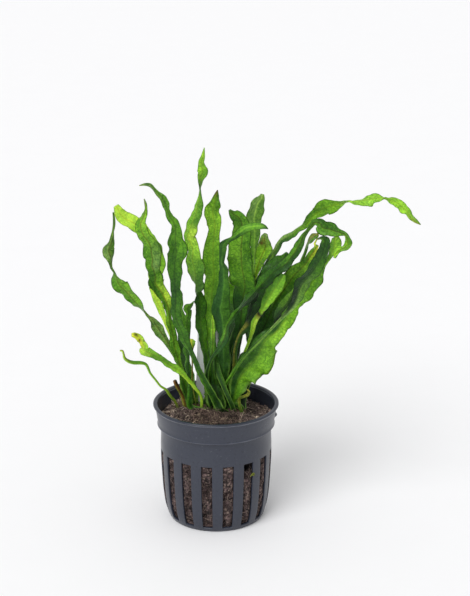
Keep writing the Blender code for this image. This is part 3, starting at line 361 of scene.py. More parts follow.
        (258, 275, 267, 268, 3.5, 10), (264, 264.5, 272, 261, 3, 10), (268.5, 256.5, 274.5, 257, 1, 20),
        (272.5, 250, 277.5, 253), (276.5, 243.5, 280.8, 248), (280, 239, 284, 242.5, -1.5, 37),
        (285, 234.8, 289.5, 240.3, -2.5, 38), (291, 232, 295.5, 236.5), (297, 228, 300, 231.5, -4.5, 20),
        (301, 225.7, 304.5, 229.3), (305.3, 219, 310.5, 225.5, -6.5, -8), (309, 213.5, 313.5, 220.5),
        (313.5, 209, 315, 217.5, -8, -20), (317.5, 203, 319, 217.3), (321.5, 198.8, 325, 216.6),
        (328, 199.8, 330, 214, -11, -29), (334, 199, 335.5, 210.2), (340, 199.6, 341.5, 206.3, -12.5, -45),
        (345, 199.9, 346.5, 202.5, -13.5, -65), (349, 199.6, 350, 203, -14.5, -90),
        (355, 198.3, 355.5, 205.5, -15, -118), (362, 197, 362, 205.3), (369, 195, 369, 204.9, -16.5, -138),
        (375.5, 193, 376, 203.8, -17.5, -135), (380.5, 196.2, 381.5, 201.3, -18.5, -120),
        (386, 197.2, 385, 199.3, -19.5, -80), (392, 197.8, 387.5, 201, -20.5, -55),
        (399, 198.4, 391, 204, -21.5, -36), (403.5, 202, 396, 206.5),
        (408.5, 205.7, 399.5, 211.5, -23.5, -22), (410.3, 209, 405, 214), (412.5, 214.5, 408.5, 218.5),
        (416.5, 218.5, 414, 222.5), (420.5, 224, 420.8, 225.2, -27, -20),
    ), (
        (0, "shaded"), (0.42, "dark"), (0.47, "dark", "dull"), (0.54, "grey", "blue"), (0.6, "dull", "mid"),
        (0.66, "mid", "bright"), (0.72, "bright"), (0.78, "fresh"), (0.95, "fresh"), (1, "dull", "olive"),
    )),
    "leaf_dark_right": Leaf(6, 3, 0.5, "leaf_dark", (
        (229, 398, 237, 399, -0.5, 0), (231, 380, 238, 382), (232.5, 362, 237, 364, -1.5, 0),
        (234, 345, 237.5, 347, -2.5, 0), (239.5, 331.5, 243.5, 334), (246, 322, 254, 327, -5, 17),
        (250, 315, 262, 320), (254, 306, 268, 311, -6.5, 31), (258, 296, 272, 301),
        (262, 285, 276, 290, -8, 35), (262.5, 270, 281, 279), (268.5, 261, 287, 267, -8, 23),
        (281, 255, 289, 259), (286, 252, 288, 253, -8, 20),
    ), (
        (0, "olive"), (0.35, "olive", "deep"), (0.5, "olive", "dark"), (0.55, "shaded", "dark"),
        (0.8, "dark", "shaded"), (1, "deep", "dark"),
    )),
    "leaf_yellow_neck": Leaf(8.8, 3, 0.5, "leaf_lime", (
        (234, 388, 237, 388.5, 0, 0), (236, 370, 239.5, 370.5, -0.5, 0), (244.5, 349, 246.5, 350, -1.5, 0),
        (247, 342.5, 250, 343.5, -3.5, 10), (249.5, 335, 252.8, 336), (250.5, 328, 255.3, 329),
        (251.3, 321.5, 257, 323, -9.5, 20), (254.5, 316.5, 259.2, 318.5),
        (257.5, 312.5, 261.5, 315.5, -12, 20), (260, 308.5, 265, 311), (261.5, 303.5, 270, 305, -14.5, 16),
        (262.8, 297, 276, 298.5), (266, 289, 281, 292, -17.5, 0), (270.5, 282.5, 284.5, 286),
        (275.5, 277.3, 285.8, 279), (280.5, 274, 285.5, 275, -20.5, -15),
    ), (
        (0, "deep", "mid"), (0.3, "mid", "bright"), (0.4, "fresh"), (0.64, "fresh", "lime"),
        (0.675, "olive"), (0.69, "black"), (0.71, "bright", "fresh"), (0.8, "mid", "fresh"),
        (0.92, "mid", "bright"), (1, "deep", "bright"),
    ), ((0.69, 0, 0.7, "black"), (0.72, 1.2, 0.5, "brown"))),
    "leaf_hooked": Leaf(2.1, 2, 0.5, "leaf_dark", (
        (222.5, 387.5, 225.5, 389, -5, 0), (229, 376, 232, 378, -9.5, 0), (238, 362, 241, 364),
        (248, 350, 251, 352, -15.5, 18), (257, 341, 260, 343), (270, 329, 271.5, 330.5, -18.5, 20),
        (275, 323, 277, 325, -20, 10), (282, 315.5, 284, 318, -20.5, -5),
        (287, 308.5, 292, 311, -21.5, -20), (290, 303.5, 298.5, 305), (291.5, 296, 302, 299, -22.5, -35),
        (293, 289, 304, 293), (295, 282, 307, 288.5, -23, -40), (299.5, 277, 310, 284),
        (304, 271, 314, 279.5, -23.5, -40), (308.5, 265, 318, 275), (312, 259.5, 321.5, 269),
        (315.5, 254, 325.5, 261, -24.5, -32), (318, 248, 328.5, 253.5), (319.5, 244, 330, 245, -25, -22),
        (320, 240, 329.5, 238.5), (319.5, 239, 325, 235.5, -25.5, 0), (317.5, 240.5, 319, 237.5, -25.5, 0),
        (315, 241.5, 315.5, 239.8, -29, 40), (313.5, 244, 315.5, 243), (315, 247, 316, 246, -30, 40),
    ), (
        (0, "deep", "dark"), (0.2, "mid", "deep"), (0.38, "dark", "dull"), (0.5, "grey", "dull"),
        (0.6, "shaded", "grey"), (0.68, "shaded", "dull"), (0.8, "dark", "deep"), (0.9, "dark"),
        (0.94, "mid", "dark"), (1, "yellow"),
    )),
    "leaf_big_right": Leaf(10.8, 2, 0.42, "leaf_bright", (
        (231, 405, 237, 402, -5, -10), (230, 395, 243, 392), (229.5, 385, 250.5, 385.5, -6.5, -16),
        (229.5, 377, 257, 378.5), (232, 369.5, 267.5, 372.5, -8.5, -20), (236.5, 362, 272, 364),
        (241, 355.5, 275.5, 355.5, -10.5, -19), (247, 350.5, 276.7, 347),
        (250.5, 344, 277.5, 342.5, -12, -10), (254, 338, 283, 338.5), (259, 333.5, 285, 334.5),
        (266, 331, 288, 329, -13, 0), (273, 326, 294.5, 324), (279, 319, 296.5, 319.5, -14, 17),
        (285, 310.5, 298.3, 313, -14, 30), (290.5, 303.5, 301, 307, -14.5, 30),
        (294.5, 297.5, 306.5, 301.5), (298.5, 291.5, 313, 297.7, -15, 20), (301.5, 287, 315.5, 291.5),
        (305, 281.5, 321.5, 285), (309, 276.5, 323.6, 278.5, -16, 3), (314, 271.5, 323.5, 272.5),
        (318, 265.5, 325.5, 266, -17, -8), (324.5, 263, 329.5, 260.5), (327.5, 256.5, 335, 254),
        (329.5, 250, 339, 248, -19, -28), (330, 243, 341, 243), (331, 238, 338.5, 236.5, -20, -30),
    ), (
        (0, "shaded"), (0.1, "dark", "mid"), (0.2, "dark", "bright"), (0.4, "deep", "bright"),
        (0.5, "dark", "fresh"), (0.6, "mid", "bright"), (0.7, "deep", "bright"), (0.8, "mid"),
        (0.9, "mid", "bright"), (1, "bright", "fresh"),
    )),
    "leaf_broad_right": Leaf(7, 4, 0.5, "leaf_mid", (
        (235, 385, 238, 385.5, 3.5, 0), (242, 361, 245, 362, 3, 0), (245, 354, 252, 355),
        (247, 345, 257, 347, 1.5, 10), (251, 335.5, 266, 337), (254.5, 327, 273, 329, -0.5, 22),
        (262, 318, 274, 318, -1, 25), (266, 310, 277, 309), (271, 303, 279.5, 301, -3, 25),
        (276, 295, 285, 297), (279.5, 288, 290, 291, -5, 15), (283, 279, 297, 284.5),
        (286.5, 271, 302.5, 279, -7, 0), (290.5, 265.5, 308, 272), (300, 263, 310.5, 264),
        (304.5, 256.5, 315.5, 256, -10, -15), (309, 251, 318.5, 249), (314.5, 247, 319, 243, -11, -20),
    ), (
        (0, "shaded", "dark"), (0.35, "dark", "shaded"), (0.5, "dark"), (0.62, "mid", "deep"),
        (0.8, "bright", "mid"), (0.9, "mid", "fresh"), (1, "fresh", "yellow"),
    )),
    "leaf_thin_right": Leaf(9.6, 4, 0.5, "leaf_mid", (
        (239.5, 384.5, 242.5, 385.5, 5, 0), (250, 361, 253, 362, 6.5, 0), (293, 266, 296, 267.5, 8, 10),
        (297, 264.5, 299, 266.5, 8, 50), (301.5, 258.5, 303, 260, 3, 70), (304.5, 252, 306, 253.5),
        (305.8, 247, 307, 250, 0, 68), (306.8, 241.5, 309, 245.5), (309.5, 237, 311.5, 242.3, -4, 56),
        (313.5, 234, 314.5, 240.5), (318, 233, 318, 237.5, -8.5, 40),
    ), (
        (0, "shaded"), (0.5, "dark", "deep"), (0.8, "dull", "mid"), (1, "olive", "mid"),
    )),
    "leaf_back_centre": Leaf(-2.4, 4, 0.5, "leaf_dark", (
        (212, 404, 230, 404, 6.5, 0), (214, 392, 231, 392, 6.5, 0), (217, 372, 231, 372),
        (219, 356, 233, 356, 9, 10), (221, 342, 234, 345), (223, 332, 241, 333, 11.5, 18),
        (225, 322, 250, 324), (226, 310, 258, 310), (226, 298, 262, 297, 18.5, 30), (227, 286, 263, 284),
        (228, 276, 260, 274, 23.5, 29), (231, 268, 256, 264), (245, 254, 250, 253),
        (246, 248, 247, 248, 28, 20),
    ), (
        (0, "shaded"), (0.4, "shaded", "dark"), (0.6, "dark", "shaded"), (0.72, "mid", "shaded"),
        (0.9, "fresh", "dark"), (1, "bright", "dark"),
    )),
    "leaf_back_tall": Leaf(-5.4, 4, 0.5, "leaf_dark", (
        (203, 398, 221, 398, 6, 0), (204, 385, 219, 385, 6, 0), (205, 370, 217, 370),
        (206, 355, 216, 355, 8.5, 12), (206.5, 340, 215.5, 340), (206.5, 325, 216, 325, 13, 20),
        (206.5, 310, 217, 310), (206, 295, 218.5, 295, 18, 25), (206, 280, 219, 280),
        (206, 265, 219, 265, 22, 24), (206, 250, 218.5, 250), (208, 235, 218, 235, 26.5, 18),
        (209.5, 220, 217.5, 220), (213, 203, 214.5, 203, 30, 10),
    ), (
        (0, "shaded"), (0.6, "deep", "dark"), (1, "mid", "deep"),
    )),
    "leaf_back_right": Leaf(11.6, 4, 0.5, "leaf_dark", (
        (241, 392, 248, 393, 5.5, 0), (244, 372, 254, 374, 6.5, -3), (246, 358, 262, 359),
        (248.5, 346, 268, 347, 11, -16), (247.5, 339, 274, 339), (241, 332, 278, 333, 14, -25),
        (243, 324, 281, 326), (254, 315, 287, 318), (268, 310, 293, 311, 19.5, -34), (273, 304, 297, 302),
        (278, 299, 300, 295, 22, -31), (282, 294, 302, 289), (288, 287, 300, 283),
        (294, 281, 298, 280, 25.5, -25),
    ), (
        (0, "shaded"), (0.5, "dark", "shaded"), (0.62, "dark", "shaded"), (0.75, "deep", "shaded"),
        (0.9, "bright", "shaded"), (1, "bright", "dark"),
    )),
    "leaflet_curled_right": Leaf(11.6, 1, 0.5, "leaf_brown", (
        (239.5, 396.5, 240.5, 399.5, -7.5, 0), (243, 395.5, 244, 398, -8.5, 20),
        (247, 393.5, 249, 396, -9.5, 30), (248, 392, 250.5, 391.5), (246.5, 390, 247.5, 389, -10, 20),
    ), (
        (0, "deep"), (1, "olive"),
    ), evened=0),
}

# Each leaf material's strength of veins, of mottling and of the dark rim, its roughness and its midrib's tint
LEAF_FINISHES = {
    "leaf_mid": (0.55, 0.7, 0.8, 0.38, (0.62, 0.40, 0.35, 1)),
    "leaf_lime": (0.30, 0.4, 0.5, 0.40, (0.85, 0.72, 0.6, 1)),
    "leaf_bright": (0.50, 0.6, 0.8, 0.38, (0.85, 0.72, 0.6, 1)),
    "leaf_dark": (0.45, 0.7, 0.6, 0.36, (0.5, 0.5, 0.55, 1)),
    "leaf_blue": (0.40, 0.6, 0.6, 0.42, (1.9, 1.6, 1.6, 1)),
    "leaf_brown": (0.5, 0.8, 0.5, 0.6, (0.62, 0.40, 0.35, 1)),
}


def colour(name, text, value):
    return FloatVectorProperty(
        name=name, description=f"{text} (display values)", default=value,
        size=3, min=0, max=1, subtype="COLOR_GAMMA",
    )


def tint(name, *value):
    return colour(name, f"{name} tint of the leaves", value)


def length(name, text, value):
    return FloatProperty(name=name, description=text, default=value * MM, min=0, unit="LENGTH", precision=5)


def number(name, text, value, **limits):
    return IntProperty(name=name, description=text, default=value, **limits)


class FernLeafSettings(bpy.types.PropertyGroup):
    """Sizes and tints of the leaves."""

    pitch: length("Station pitch", "Distance between two rows of points along a leaf", 0.6)
    thickness: length("Blade thickness", "Thickness of a blade beside its midrib", 0.3)
    stalk: length("Stalk thickness", "Thickness of a stalk under its blade", 1.5)
    ruffle: FloatProperty(
        name="Ruffle", description="Height of the edge waves, as a share of the half width",
        default=0.2, min=0, max=1,
    )
    columns: number("Columns", "Points across one side of a blade", 25, min=9, max=61)
    yellow: tint("Yellow", 0.78, 0.85, 0.24)
    lime: tint("Lime", 0.69, 0.87, 0.28)
    fresh: tint("Fresh", 0.52, 0.75, 0.20)
    bright: tint("Bright", 0.42, 0.65, 0.155)
    mid: tint("Mid", 0.31, 0.53, 0.12)
    dull: tint("Dull", 0.34, 0.52, 0.18)
    grey: tint("Grey", 0.44, 0.60, 0.30)
    deep: tint("Deep", 0.215, 0.41, 0.085)
    dark: tint("Dark", 0.14, 0.305, 0.085)
    blue: tint("Blue", 0.15, 0.33, 0.12)
    olive: tint("Olive", 0.48, 0.52, 0.20)
    brown: tint("Brown", 0.40, 0.28, 0.13)
    black: tint("Black", 0.10, 0.10, 0.05)
    # Painted shade: a near-black green for the parts of leaves that lie in shade
    shaded: tint("Shaded", 0.085, 0.19, 0.075)


class FernPotSettings(bpy.types.PropertyGroup):
    """Sizes and colours of the net pot."""

    rim_radius: length("Rim radius", "Outer radius of the flange", 27.5)
    height: length("Height", "Height of the pot", 52.9)
    wall: length("Wall", "Thickness of the wall", 1.0)
    slot_top: length("Slot top", "Height of the slots' upper ends", 32.0)
    slot_end: length("Slot end", "Height of the slots' lower ends", 2.0)
    edge: length("Edge radius", "Rounding of the slots' edges", 0.25)
    turn: FloatProperty(
        name="Turn", description="How far the slots are turned about the pot's axis",
        default=radians(2), subtype="ANGLE",
    )
    slots: number("Slots", "Number of slots round the wall", 16, min=4, max=40)
    plastic: colour("Plastic", "Colour of the pot", (0.146, 0.165, 0.22))


class FernSoilSettings(bpy.types.PropertyGroup):
    """Level, fibres and colours of the soil."""

    level: length("Level", "Height of the soil at the back", 46.2)
    front_rise: length("Front rise", "How far the soil rises towards the front", 2.4)
    ridge_height: length("Ridge height", "Height of the fibre ridge before the stalks", 4.2)
    ridge_spread: length("Ridge spread", "Half width of the ridge", 5.0)
    top_fibres: number("Top fibres", "Loose fibres on the soil", 2200, min=0)
    crumbs: number("Crumbs", "Crumbs lying on the soil", 1500, min=0)
    side_fibres: number("Side fibres", "Loose fibres behind the slots", 800, min=0)
    dark: colour("Dark", "Colour of the damp soil", (0.15, 0.12, 0.11))
    mid: colour("Middle", "Colour of most of the soil", (0.355, 0.29, 0.26))
    tan: colour("Tan", "Colour of the dry fibres", (0.66, 0.58, 0.49))


class FernRhizomeSettings(bpy.types.PropertyGroup):
    """Size, root hairs and colour of the rhizome."""

    radius: length("Radius", "Radius of the creeping stem", 3.8)
    hairs: number("Root hairs", "Short roots that leave the rhizome", 420, min=0)
    bark: colour("Bark", "Colour of the bark", (0.20, 0.17, 0.09))


class FernLabelSettings(bpy.types.PropertyGroup):
    """Size, place and colour of the plain label."""

    width: length("Width", "Width of the plate", 19.2)
    thickness: length("Thickness", "Thickness of the plate", 0.6)
    height: length("Height", "Height of the plate, its foot included", 52.0)
    corner: length("Corner", "Radius of the plate's corners", 1.2)
    plastic: colour("Plastic", "Colour of the plate", (0.97, 0.985, 0.985))


class FernStageSettings(bpy.types.PropertyGroup):
    """The floor and the light."""

    floor: colour("Floor", "Colour of the floor", (0.96, 0.96, 0.965))
    sky: FloatProperty(name="Sky", description="Strength of the white surroundings", default=0.66, min=0)
    key: FloatProperty(name="Key", description="Strength of the soft main light", default=1.95, min=0)


SETTINGS = {
    "fern_leaf": FernLeafSettings,
    "fern_pot": FernPotSettings,
    "fern_soil": FernSoilSettings,
    "fern_rhizome": FernRhizomeSettings,
    "fern_label": FernLabelSettings,
    "fern_stage": FernStageSettings,
}


def linear(display):
    """Display values as the linear values that shaders use: the standard curve, a line near black."""
    value = np.asarray(display, float)
    return np.where(value <= 0.04045, value / 12.92, ((value + 0.055) / 1.055) ** 2.4)


def unit(vectors):
    return vectors / np.maximum(np.linalg.norm(vectors, axis=-1, keepdims=True), 1e-12)


def ease(low, high, value):
    """0 below low, 1 above high, and three t squared less two t cubed between them."""
    t = np.clip((value - low) / (high - low), 0, 1)
    return t * t * (3 - 2 * t)


def noise(points, cell, seed=0):
    """Smooth noise from -1 to 1: random values on a lattice of cubes, blended by ease along each axis."""
    place = np.asarray(points, float) / cell
    corner = np.floor(place).astype(np.int64)
    t = place - corner
    t = t * t * (3 - 2 * t)
    total = np.zeros(place.shape[:-1])
    for step in product((0, 1), repeat=3):
        x, y, z = np.moveaxis(corner + np.array(step), -1, 0)
        mixed = (x * 73856093) ^ (y * 19349663) ^ (z * 83492791) ^ (seed * 2654435)
        mixed = (mixed ^ (mixed >> 13)) * 1274126177
        value = ((mixed ^ (mixed >> 16)) & 0xFFFF) / 32767.5 - 1
        total += value * np.prod(np.where(step, t, 1 - t), axis=-1)
    return total


def noise_along(distance, cell, seed):
    """The same noise read along one line."""
    zero = np.zeros_like(distance)
    return noise(np.stack([distance, zero + 0.5, zero + seed * 3.7], axis=-1), cell, seed)


def slopes(knots, values):
    """Slope at each knot: the mean of the slopes on both sides, weighted by the nearer side."""
    step = np.diff(knots)[:, None]
    rise = np.diff(values, axis=0) / step
    middle = (rise[:-1] * step[1:] + rise[1:] * step[:-1]) / (step[:-1] + step[1:])
    return np.vstack([rise[:1], middle, rise[-1:]])


def smooth_through(knots, values, at):
    """A cubic through the knots, with the slopes above, read at the given distances."""
    slope = slopes(knots, values)
    index = np.clip(np.searchsorted(knots, at, side="right") - 1, 0, len(knots) - 2)
    width = (knots[index + 1] - knots[index])[:, None]
    t = (at - knots[index])[:, None] / width
    return (
        (2 * t**3 - 3 * t**2 + 1) * values[index]
        + (t**3 - 2 * t**2 + t) * width * slope[index]
        + (3 * t**2 - 2 * t**3) * values[index + 1]
        + (t**3 - t**2) * width * slope[index + 1]
    )


def distances(places):
    """Distance of each point from the first, along the line through them."""
    return np.concatenate([[0], np.cumsum(np.linalg.norm(np.diff(places, axis=0), axis=1))])


def evened(values):
    """Each inner row as half of itself and a quarter of both its neighbours."""
    return 0.25 * values[:-2] + 0.5 * values[1:-1] + 0.25 * values[2:]


def round_axis(radius, angle, height):
    """Points round the pot's axis."""
    return np.stack(np.broadcast_arrays(radius * np.cos(angle), radius * np.sin(angle), height), axis=-1)


def ring_quads(rows, columns):
    """Quads between neighbouring rings of points, by row and column."""
    index = np.arange(rows * columns).reshape(rows, columns)
    index = np.column_stack([index, index[:, :1]])
    return np.stack([index[:-1, :-1], index[:-1, 1:], index[1:, 1:], index[1:, :-1]], axis=-1)


def cap(ring, centre):
    """A fan of triangles from a closed ring of points to one centre point."""
    return np.stack([ring, np.roll(ring, -1), np.full(len(ring), centre)], axis=-1)


def end_caps(rows, columns):
    """Fans that close the first and the last ring, to the two points that come after the rings."""
    ring = np.arange(columns)
    count = rows * columns
    return np.vstack([cap(ring[::-1], count), cap(ring + count - columns, count + 1)])


def volume(places, triangles):
    """Signed volume: a sixth of the sum of each triangle's triple product."""
    a, b, c = (places[triangles[:, k]] for k in range(3))
    return np.einsum("ij,ij->", a, np.cross(b, c)) / 6


def make_mesh(name, places, quads, triangles=None, attributes=None, sharp=None):
    """A mesh from whole arrays: places in mm, faces turned so that the volume inside is positive."""
    quads = quads.reshape(-1, 4)
    triangles = np.zeros((0, 3), int) if triangles is None else triangles
    split = np.vstack([quads[:, [0, 1, 2]], quads[:, [0, 2, 3]], triangles])
    if volume(places, split) < 0:
        quads, triangles = quads[:, ::-1], triangles[:, ::-1]
    mesh = bpy.data.meshes.new(name)
    mesh.vertices.add(len(places))
    mesh.vertices.foreach_set("co", (places * MM).ravel())
    corners = np.concatenate([quads.ravel(), triangles.ravel()])
    starts = np.concatenate([np.arange(len(quads)) * 4, len(quads) * 4 + np.arange(len(triangles)) * 3])
    mesh.loops.add(len(corners))
    mesh.loops.foreach_set("vertex_index", corners.astype(np.int32))
    mesh.polygons.add(len(starts))
    mesh.polygons.foreach_set("loop_start", starts.astype(np.int32))
    mesh.update(calc_edges=True)
    mesh.validate()
    for key, values in (attributes or {}).items():
        kind, field = ("FLOAT_COLOR", "color") if values.shape[1] == 4 else ("FLOAT_VECTOR", "vector")
        mesh.attributes.new(key, kind, "POINT").data.foreach_set(field, values.astype(np.float32).ravel())
    mesh.shade_smooth()
    if sharp:
        mesh.set_sharp_from_angle(angle=radians(sharp))
    return mesh


def add_piece(name, mesh, material, node):
    """The mesh as a piece of the fern: it rides with the body and stands for its CAD node."""
    mesh.materials.append(material)
    piece = bpy.data.objects.new(name, mesh)
    bpy.context.scene.collection.objects.link(piece)
    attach(piece, "root")
    if node:
        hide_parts(node)
    return piece


def feed(tree, socket, value):
    """Links the value to the socket where it is a socket itself, and otherwise sets it."""
    if isinstance(value, bpy.types.NodeSocket):
        tree.links.new(value, socket)
    else:
        socket.default_value = value


def add(tree, kind, inputs=(), **settings):
    """A new shader node: settings are its options, inputs the values of its sockets or what feeds them."""
    node = tree.nodes.new("ShaderNode" + kind)
    for key, value in settings.items():
        setattr(node, key, value)
    for key, value in dict(inputs).items():
        feed(tree, node.inputs[key], value)
    return node


def maths(tree, operation, *values):
    return add(tree, "Math", dict(enumerate(values)), operation=operation).outputs[0]


def times(tree, first, second):
    return maths(tree, "MULTIPLY", first, second)


def swung(tree, value, by, about):
    """The value's distance from a half, times by, added to about."""
    return maths(tree, "MULTIPLY_ADD", maths(tree, "SUBTRACT", value, 0.5), by, about)


def mask(tree, value, low, high, start=0.0, end=1.0):
    """start below low, end above high, and an eased step between."""
    inputs = {"Value": value, "From Min": low, "From Max": high, "To Min": start, "To Max": end}
    return add(tree, "MapRange", inputs, interpolation_type="SMOOTHSTEP").outputs[0]


def mix(tree, factor, first, second, blend="MIX"):
    node = add(tree, "Mix", {0: factor}, data_type="RGBA", blend_type=blend)
    for index, value in ((6, first), (7, second)):
        plain = not isinstance(value, bpy.types.NodeSocket)
        feed(tree, node.inputs[index], (*value, 1) if plain and len(value) == 3 else value)
    return node.outputs[2]


def multiplied(tree, colour_from, by):
    return mix(tree, 1.0, colour_from, by, "MULTIPLY")


def noise_value(tree, vector, scale, detail=3.0, roughness=0.55, distortion=0.0):
    inputs = {"Vector": vector, "Scale": scale, "Detail": detail, "Roughness": roughness}
    return add(tree, "TexNoise", {**inputs, "Distortion": distortion}).outputs["Fac"]


def cell_outputs(tree, vector, scale, **settings):
    """Outputs of a Voronoi texture, whose cells are scattered at random."""
    return add(tree, "TexVoronoi", {"Vector": vector, "Scale": scale, "Randomness": 1.0}, **settings).outputs


def new_group(name, inputs, outputs):
    """A shader node group with the given sockets; inputs hold (name, kind, default)."""
    group = bpy.data.node_groups.new(name, "ShaderNodeTree")
    for title, kind, default in inputs:
        socket = group.interface.new_socket(name=title, in_out="INPUT", socket_type="NodeSocket" + kind)
        if default is not None:
            socket.default_value = default
    for title, kind in outputs:
        group.interface.new_socket(name=title, in_out="OUTPUT", socket_type="NodeSocket" + kind)
    return group, group.nodes.new("NodeGroupInput").outputs, group.nodes.new("NodeGroupOutput").inputs


def use_group(tree, group, values):
    node = tree.nodes.new("ShaderNodeGroup")
    node.node_tree = group
    for key, value in values.items():
        feed(tree, node.inputs[key], value)
    return node.outputs


def finish_material(tree, colour_from, roughness_from, height_from, bump, **sockets):
    """Feeds the material's own Principled shader, with a Bump node of the given depth in mm."""
    shader = tree.nodes["Principled BSDF"]
    tree.links.new(colour_from, shader.inputs["Base Color"])
    if roughness_from is not None:
        tree.links.new(roughness_from, shader.inputs["Roughness"])
    relief = add(tree, "Bump", {"Height": height_from, "Distance": bump * MM, "Strength": 1.0})
    tree.links.new(relief.outputs["Normal"], shader.inputs["Normal"])
    for key, value in sockets.items():
        shader.inputs[key.replace("_", " ")].default_value = value


def new_material(name):
    material = bpy.data.materials.new(name)
    material.use_nodes = True
    return material, material.node_tree


def leaf_pattern():
    """Veins, mottling, a dark rim that turns pale near the foot, and a rougher underside for a blade.

    Place holds mm along and across the blade. The side veins leave the midrib at a slant, so they are lines
    of equal (along - slant |across|). The net between them is the borders of Voronoi cells, and the midrib is
    where |across| is small. Marks hold the share of the half width, that of the length and the underside.
    """
    tree, given, out = new_group(
        "leaf pattern",
        (
            ("Tint", "Color", (0.1, 0.3, 0.05, 1)), ("Place", "Vector", None), ("Marks", "Vector", None),
            ("Vein Depth", "Float", 0.5), ("Mottle", "Float", 0.5), ("Edge Dark", "Float", 0.5),
            ("Gloss", "Float", 0.4), ("Rib Shift", "Color", (1.5, 1.4, 1.3, 1)),
        ),
        (("Colour", "Color"), ("Roughness", "Float"), ("Height", "Float")),
    )
    split = add(tree, "SeparateXYZ", {0: given["Place"]}).outputs
    marks = add(tree, "SeparateXYZ", {0: given["Marks"]}).outputs
    off_rib = maths(tree, "ABSOLUTE", split[1])
    wobble = noise_value(tree, given["Place"], 0.35, 2.0)
    slant = maths(tree, "MULTIPLY_ADD", off_rib, -VEIN_SLANT, split[0])
    slant = maths(tree, "MULTIPLY_ADD", wobble, 2.4, slant)
    side = maths(tree, "ABSOLUTE", maths(tree, "SINE", times(tree, slant, pi / VEIN_PITCH)))
    side_vein = mask(tree, side, 0.02, 0.2, 1.0, 0.0)
    border, cell = (
        cell_outputs(tree, given["Place"], 0.62, feature=feature, voronoi_dimensions="2D")
        for feature in ("DISTANCE_TO_EDGE", "F1")
    )
    net = mask(tree, border["Distance"], 0.02, 0.16, 1.0, 0.0)
    cell = add(tree, "SeparateColor", {0: cell["Color"]}).outputs["Red"]
    lines = maths(tree, "MAXIMUM", times(tree, net, 0.8), times(tree, side_vein, 0.8))
    lines = times(tree, lines, mask(tree, off_rib, 0.3, 0.9))
    patches = noise_value(tree, given["Place"], 0.3, 3.0, 0.6)
    grains = noise_value(tree, given["Place"], 1.15, 3.0, 0.75)
    # Painted glints: pale, bluish specks mixed into the colour where a fine noise peaks
    glints = mask(tree, noise_value(tree, given["Place"], 1.6, 2.0, 0.8), 0.63, 0.72)
    vein_share = times(tree, lines, given["Vein Depth"])
    veined = mix(tree, vein_share, given["Tint"], (0.30, 0.38, 0.25), "MULTIPLY")
    spread = swung(tree, patches, 1.3, 0.5)
    spread = swung(tree, grains, 2.2, spread)
    spread = swung(tree, cell, 0.35, spread)
    light = mask(tree, spread, 0.0, 1.0)
    bright = multiplied(tree, veined, (1.85, 1.5, 1.35))
    dim = multiplied(tree, veined, (0.42, 0.52, 0.5))
    mottled = mix(tree, given["Mottle"], veined, mix(tree, light, dim, bright))
    glint = times(tree, glints, 0.6)
    mottled = mix(tree, glint, mottled, multiplied(tree, mottled, (2.4, 2.1, 2.9)))
    rim = times(tree, mask(tree, marks[0], 0.80, 0.97), given["Edge Dark"])
    rimmed = mix(tree, rim, mottled, multiplied(tree, mottled, (0.32, 0.30, 0.2)))
    low = mask(tree, marks[1], 0.16, 0.3, 1.0, 0.0)
    ridge = times(tree, mask(tree, marks[0], 0.62, 0.82), low)
    rimmed = mix(tree, times(tree, ridge, 0.8), rimmed, (0.13, 0.27, 0.035))
    rib = times(tree, mask(tree, off_rib, 0.15, 0.5, 1.0, 0.0), 0.75)
    rib = times(tree, rib, mask(tree, marks[0], 0.2, 0.6, 1.0, 0.0))
    ribbed = mix(tree, rib, rimmed, multiplied(tree, rimmed, given["Rib Shift"]))
    tree.links.new(ribbed, out["Colour"])
    shine = swung(tree, grains, 0.3, given["Gloss"])
    tree.links.new(maths(tree, "MULTIPLY_ADD", marks[2], 0.12, shine), out["Roughness"])
    relief = maths(tree, "MULTIPLY_ADD", lines, -0.8, times(tree, grains, 1.2))
    tree.links.new(relief, out["Height"])
    return tree


def fine_mottle():
    """A finish for moulded plastic and bark: soft patches, fine specks and a matching relief."""
    tree, given, out = new_group(
        "fine mottle",
        (
            ("Colour", "Color", (0.1, 0.1, 0.1, 1)), ("Patch Colour", "Color", (0.5, 0.5, 0.5, 1)),
            ("Vector", "Vector", None), ("Patch Scale", "Float", 60.0), ("Speck Scale", "Float", 900.0),
            ("Patches", "Float", 0.2), ("Specks", "Float", 0.2), ("Gloss", "Float", 0.4),
        ),
        (("Colour", "Color"), ("Roughness", "Float"), ("Height", "Float")),
    )
    patch = noise_value(tree, given["Vector"], given["Patch Scale"], 4.0)
    speck = noise_value(tree, given["Vector"], given["Speck Scale"], 2.0, 0.7)
    dust = mask(tree, speck, 0.62, 0.74)
    tinted = mix(tree, times(tree, patch, given["Patches"]), given["Colour"], given["Patch Colour"])
    dark = multiplied(tree, given["Colour"], (0.55, 0.55, 0.55))
    dark_share = maths(tree, "MINIMUM", times(tree, given["Specks"], 3.75), 0.6)
    tinted = mix(tree, times(tree, mask(tree, speck, 0.42, 0.3), dark_share), tinted, dark)
    dusted = mix(tree, times(tree, dust, given["Specks"]), tinted, given["Patch Colour"])
    tree.links.new(dusted, out["Colour"])
    uneven = swung(tree, patch, 0.3, given["Gloss"])
    tree.links.new(maths(tree, "MULTIPLY_ADD", dust, 0.15, uneven), out["Roughness"])
    tree.links.new(maths(tree, "MULTIPLY_ADD", patch, 0.6, speck), out["Height"])
    return tree


